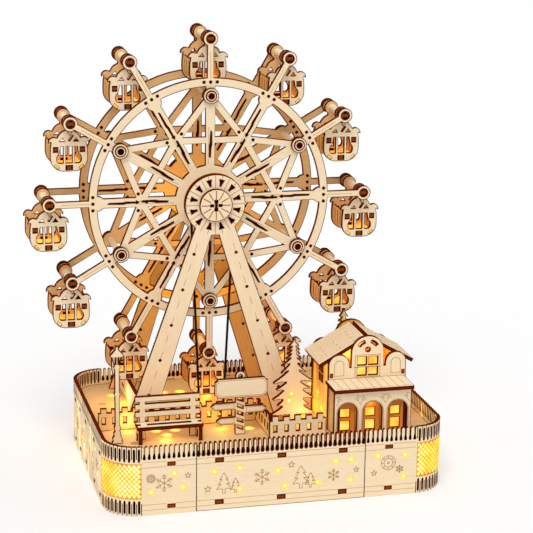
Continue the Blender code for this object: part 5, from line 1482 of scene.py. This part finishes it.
# %% Bench
BENCH_X, BENCH_Y, BENCH_HALF, BENCH_DEEP, SEAT = -81.5, 39.5, 26.75, 16.0, 14.5
STILES = (-20.75, 20.75)
deep, top = BENCH_DEEP - PLY - GAP, SEAT - PLY - GAP
slats = boxes(*((-BENCH_HALF, v, BENCH_HALF, v + 4.6) for v in (18.5, 25.0, 31.4)),
              *((u - 2.5, 0.0, u + 2.5, 36.0) for u in STILES))
cut_sheet("bench_slats", slats, [], placed("front", BENCH_X, 52.5, STANDING), "bench_back")
boards = boxes(*((-BENCH_HALF, v, BENCH_HALF, v + 4.7) for v in (0.0, deep - 4.7)),
               *((u - 3.0, 0.5, u + 3.0, deep - 0.5) for u in STILES))
cut_sheet("bench_boards", boards, [], placed("flat", BENCH_X, BENCH_Y, STANDING + SEAT - PLY),
          "bench_seat")
legs = [box_outline(0.0, top - 3.6, deep, top),
        [(0.0, 0.0), (3.2, 0.0), (3.8, top - 1), (0.0, top - 1)],
        [(deep - 3.2, 0.0), (deep, 0.0), (deep, top - 1), (deep - 3.8, top - 1)]]
# The bench's sides take the honey copy: painted shade.
for label, side in (("left", -1), ("right", 1)):
    cut_sheet("bench_legs_" + label, legs, [],
              placed("side", BENCH_X + side * 24.55 - PLY / 2, BENCH_Y, STANDING),
              "bench_side_" + label, HONEY["z"])
print("Bench pieces: back, seat and two sides")

# %% Signpost and its board
SIGN_X, SIGN_Y, BOARD_Y = -22.5, 47.5, 44.2
KNOB = 49.6
post_cuts = [circle_outline(0.0, KNOB, 1.4, 16)]
post_cuts += [[(-2.5, v + 2.2), (2.5, v), (2.5, v + 2.8), (-2.5, v + 5.0)]
              for v in (3.4 + index * 6.0 for index in range(5))]
arrow_shapes, arrow_borders = [], []
for v, length, side in ((24.3, 24.7, -1), (20.8, 22.2, 1), (11.8, 20.0, -1)):
    shape = [(3.0, v - 3.0), (length - 3.4, v - 3.0), (length, v), (length - 3.4, v + 3.0),
             (3.0, v + 3.0)]
    border = closed([(5.2, v - 2.0), (length - 4.0, v - 2.0), (length - 1.8, v),
                     (length - 4.0, v + 2.0), (5.2, v + 2.0)])
    arrow_shapes.append(shape if side > 0 else mirrored(shape))
    arrow_borders.append(border if side > 0 else mirrored(border))
cut_sheet("arrow_post", [box_outline(-4.1, 0.0, 4.1, 45.6), circle_outline(0.0, KNOB, 4.2, 28),
                         *arrow_shapes], post_cuts, placed("front", SIGN_X, SIGN_Y, STANDING),
          "sign_post")
engraved("arrow_borders", arrow_borders, on_face(SIGN_X, SIGN_Y, STANDING), 0.35)


def notched_plate(half, low, high, notch):
    corner = [(half - notch, low)]
    corner += arc_points(half, low, notch, math.pi, math.pi / 2, 6)[1:]
    corner += arc_points(half, high, notch, -math.pi / 2, -math.pi, 6)
    return corner + mirrored(corner)


cut_sheet("name_board", [notched_plate(22.0, 32.6, 48.8, 2.4)], [],
          placed("front", SIGN_X, BOARD_Y, STANDING), "sign_board")
engraved("board_border", [closed(notched_plate(20.6, 34.0, 47.4, 2.2))],
         on_face(SIGN_X, BOARD_Y, STANDING), 0.4)
print("Arrows on the post:", len(arrow_shapes))

# %% [markdown]
# The pieces inside the base keep their CAD shapes and get their real finishes: turned brass
# bushes, a ground steel shaft, a dull steel motor can and black moulded plastic. Each finish is
# noise at the scale of its tool marks, with some variation of roughness.

# %% Metal and plastic
def tooled(name, dark, light, rough, metallic, scale, stretch=None):
    made, tree, shader = new_material(name, {"Metallic": metallic})
    noise = add_noise(tree, scale, 5.0, stretch)
    feed(shader, {
        "Base Color": add_ramp(tree, noise, ((0.0, dark), (1.0, light))),
        "Roughness": add_node(tree, "MapRange", {"Value": noise, "To Min": rough - 0.08,
                                                 "To Max": rough + 0.12}),
        "Normal": add_node(tree, "Bump", {"Height": noise, "Strength": 0.15,
                                          "Distance": 0.0001})})
    return made


STEEL = tooled("Ground steel", (0.42, 0.42, 0.43), (0.62, 0.62, 0.63), 0.28, 1.0, 300.0,
               (4.0, 0.3, 4.0))
BRASS = tooled("Turned brass", (0.50, 0.33, 0.12), (0.72, 0.50, 0.20), 0.3, 1.0, 500.0,
               (0.4, 3.0, 0.4))
PLASTIC = tooled("Black moulded plastic", (0.02, 0.02, 0.021), (0.04, 0.04, 0.042), 0.45, 0.0,
                 900.0)
FINISHES = {"main_shaft": STEEL, "front_bush": BRASS, "back_bush": BRASS, "motor": STEEL,
            "motor_pulley": BIRCH["x"], "battery_box": PLASTIC, "switch_case": PLASTIC,
            "switch_lever": PLASTIC}
for node, look in FINISHES.items():
    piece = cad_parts[node]
    piece = piece if hasattr(piece, "data") else bpy.data.objects[node]
    for index in range(len(piece.data.materials)):
        piece.data.materials[index] = look
print("CAD pieces with a new finish:", len(FINISHES))

# %% [markdown]
# The model stands on a plain white floor under soft studio light: a wide lamp above and in front,
# a weaker one at the side, and an even pale world. Small warm lamps stand where the model's own
# bulbs are, because the bulbs light the deck and the rooms.

# %% Floor
bpy.ops.object.select_all(action="DESELECT")
bpy.ops.mesh.primitive_plane_add(size=30.0, location=(0.0, 0.0, 0.0))
floor = bpy.context.object
floor.name = "floor"
FLOOR, tree, shader = new_material("White floor", {
    "Roughness": 0.9, "Base Color": (0.82, 0.82, 0.82), "Specular IOR Level": 0.0,
    "Emission Strength": 1.0})
camera_ray = add_node(tree, "LightPath", out="Is Camera Ray")
feed(shader, {"Emission Color": add_node(tree, "Math", {0: camera_ray, 1: 0.12},
                                         operation="MULTIPLY")})
floor.data.materials.append(FLOOR)
print("Floor size: 30 m")

# %% World and studio lamps
world = bpy.data.worlds.new("Pale studio")
bpy.context.scene.world = world
world.use_nodes = True
tree = world.node_tree
rays = add_node(tree, "LightPath").node.outputs
seen = add_node(tree, "Math", {0: rays["Is Camera Ray"], 1: rays["Is Glossy Ray"]},
                operation="ADD")
seen = add_node(tree, "Math", {0: seen, 1: rays["Is Transmission Ray"]}, operation="ADD",
                use_clamp=True)
strength = add_node(tree, "MapRange", {"Value": seen, "To Min": 0.62, "To Max": 1.0})
feed(tree.nodes["Background"], {"Strength": strength, "Color": (1.0, 1.0, 1.0)})
bpy.context.scene.view_settings.view_transform = "Standard"
for name, toward, power, spread in (("key_light", (-0.22, -0.52, 0.80), 1.55, 34.0),
                                    ("fill_light", (0.75, 0.35, 0.55), 0.25, 60.0)):
    bpy.ops.object.light_add(type="SUN", location=toward)
    sun = bpy.context.object
    sun.name = name
    sun.data.energy = power
    sun.data.angle = math.radians(spread)
    sun.rotation_euler = Vector(toward).to_track_quat("Z", "Y").to_euler()
print("Studio lights: 2")

# %% The model's own bulbs
WARM = (1.0, 0.64, 0.16)
GLOW_SPOTS = ((-84.0, 48.0, 48.0, 5), (-110.0, 74.0, 52.0, 8), (-36.0, 92.0, 50.0, 10),
              (-34.0, 140.0, 54.0, 24), (-100.0, 140.0, 52.0, 20), (36.0, 60.0, 50.0, 6),
              (34.0, 140.0, 52.0, 14), (82.0, 66.0, 100.0, 14), (82.0, 66.0, 62.0, 8),
              (80.0, 22.5, 72.0, 3), (118.0, 120.0, 50.0, 8), (-34.0, 64.0, 50.0, 7),
              (40.0, 78.0, 52.0, 8), (-59.0, 140.0, 215.0, 13), (-9.0, 140.0, 215.0, 13),
              (-34.0, 140.0, 190.0, 16), (-60.0, 140.0, 120.0, 16), (-8.0, 140.0, 120.0, 16))
for index, (x, y, z, milliwatts) in enumerate(GLOW_SPOTS):
    bpy.ops.object.light_add(type="POINT", location=Vector((x, y, z)) * MM)
    glow = bpy.context.object
    glow.name = f"bulb_light_{index + 1}"
    glow.data.energy = milliwatts / 1000
    glow.data.color = WARM
    glow.data.shadow_soft_size = 0.004
print("Warm bulb lights:", len(GLOW_SPOTS))
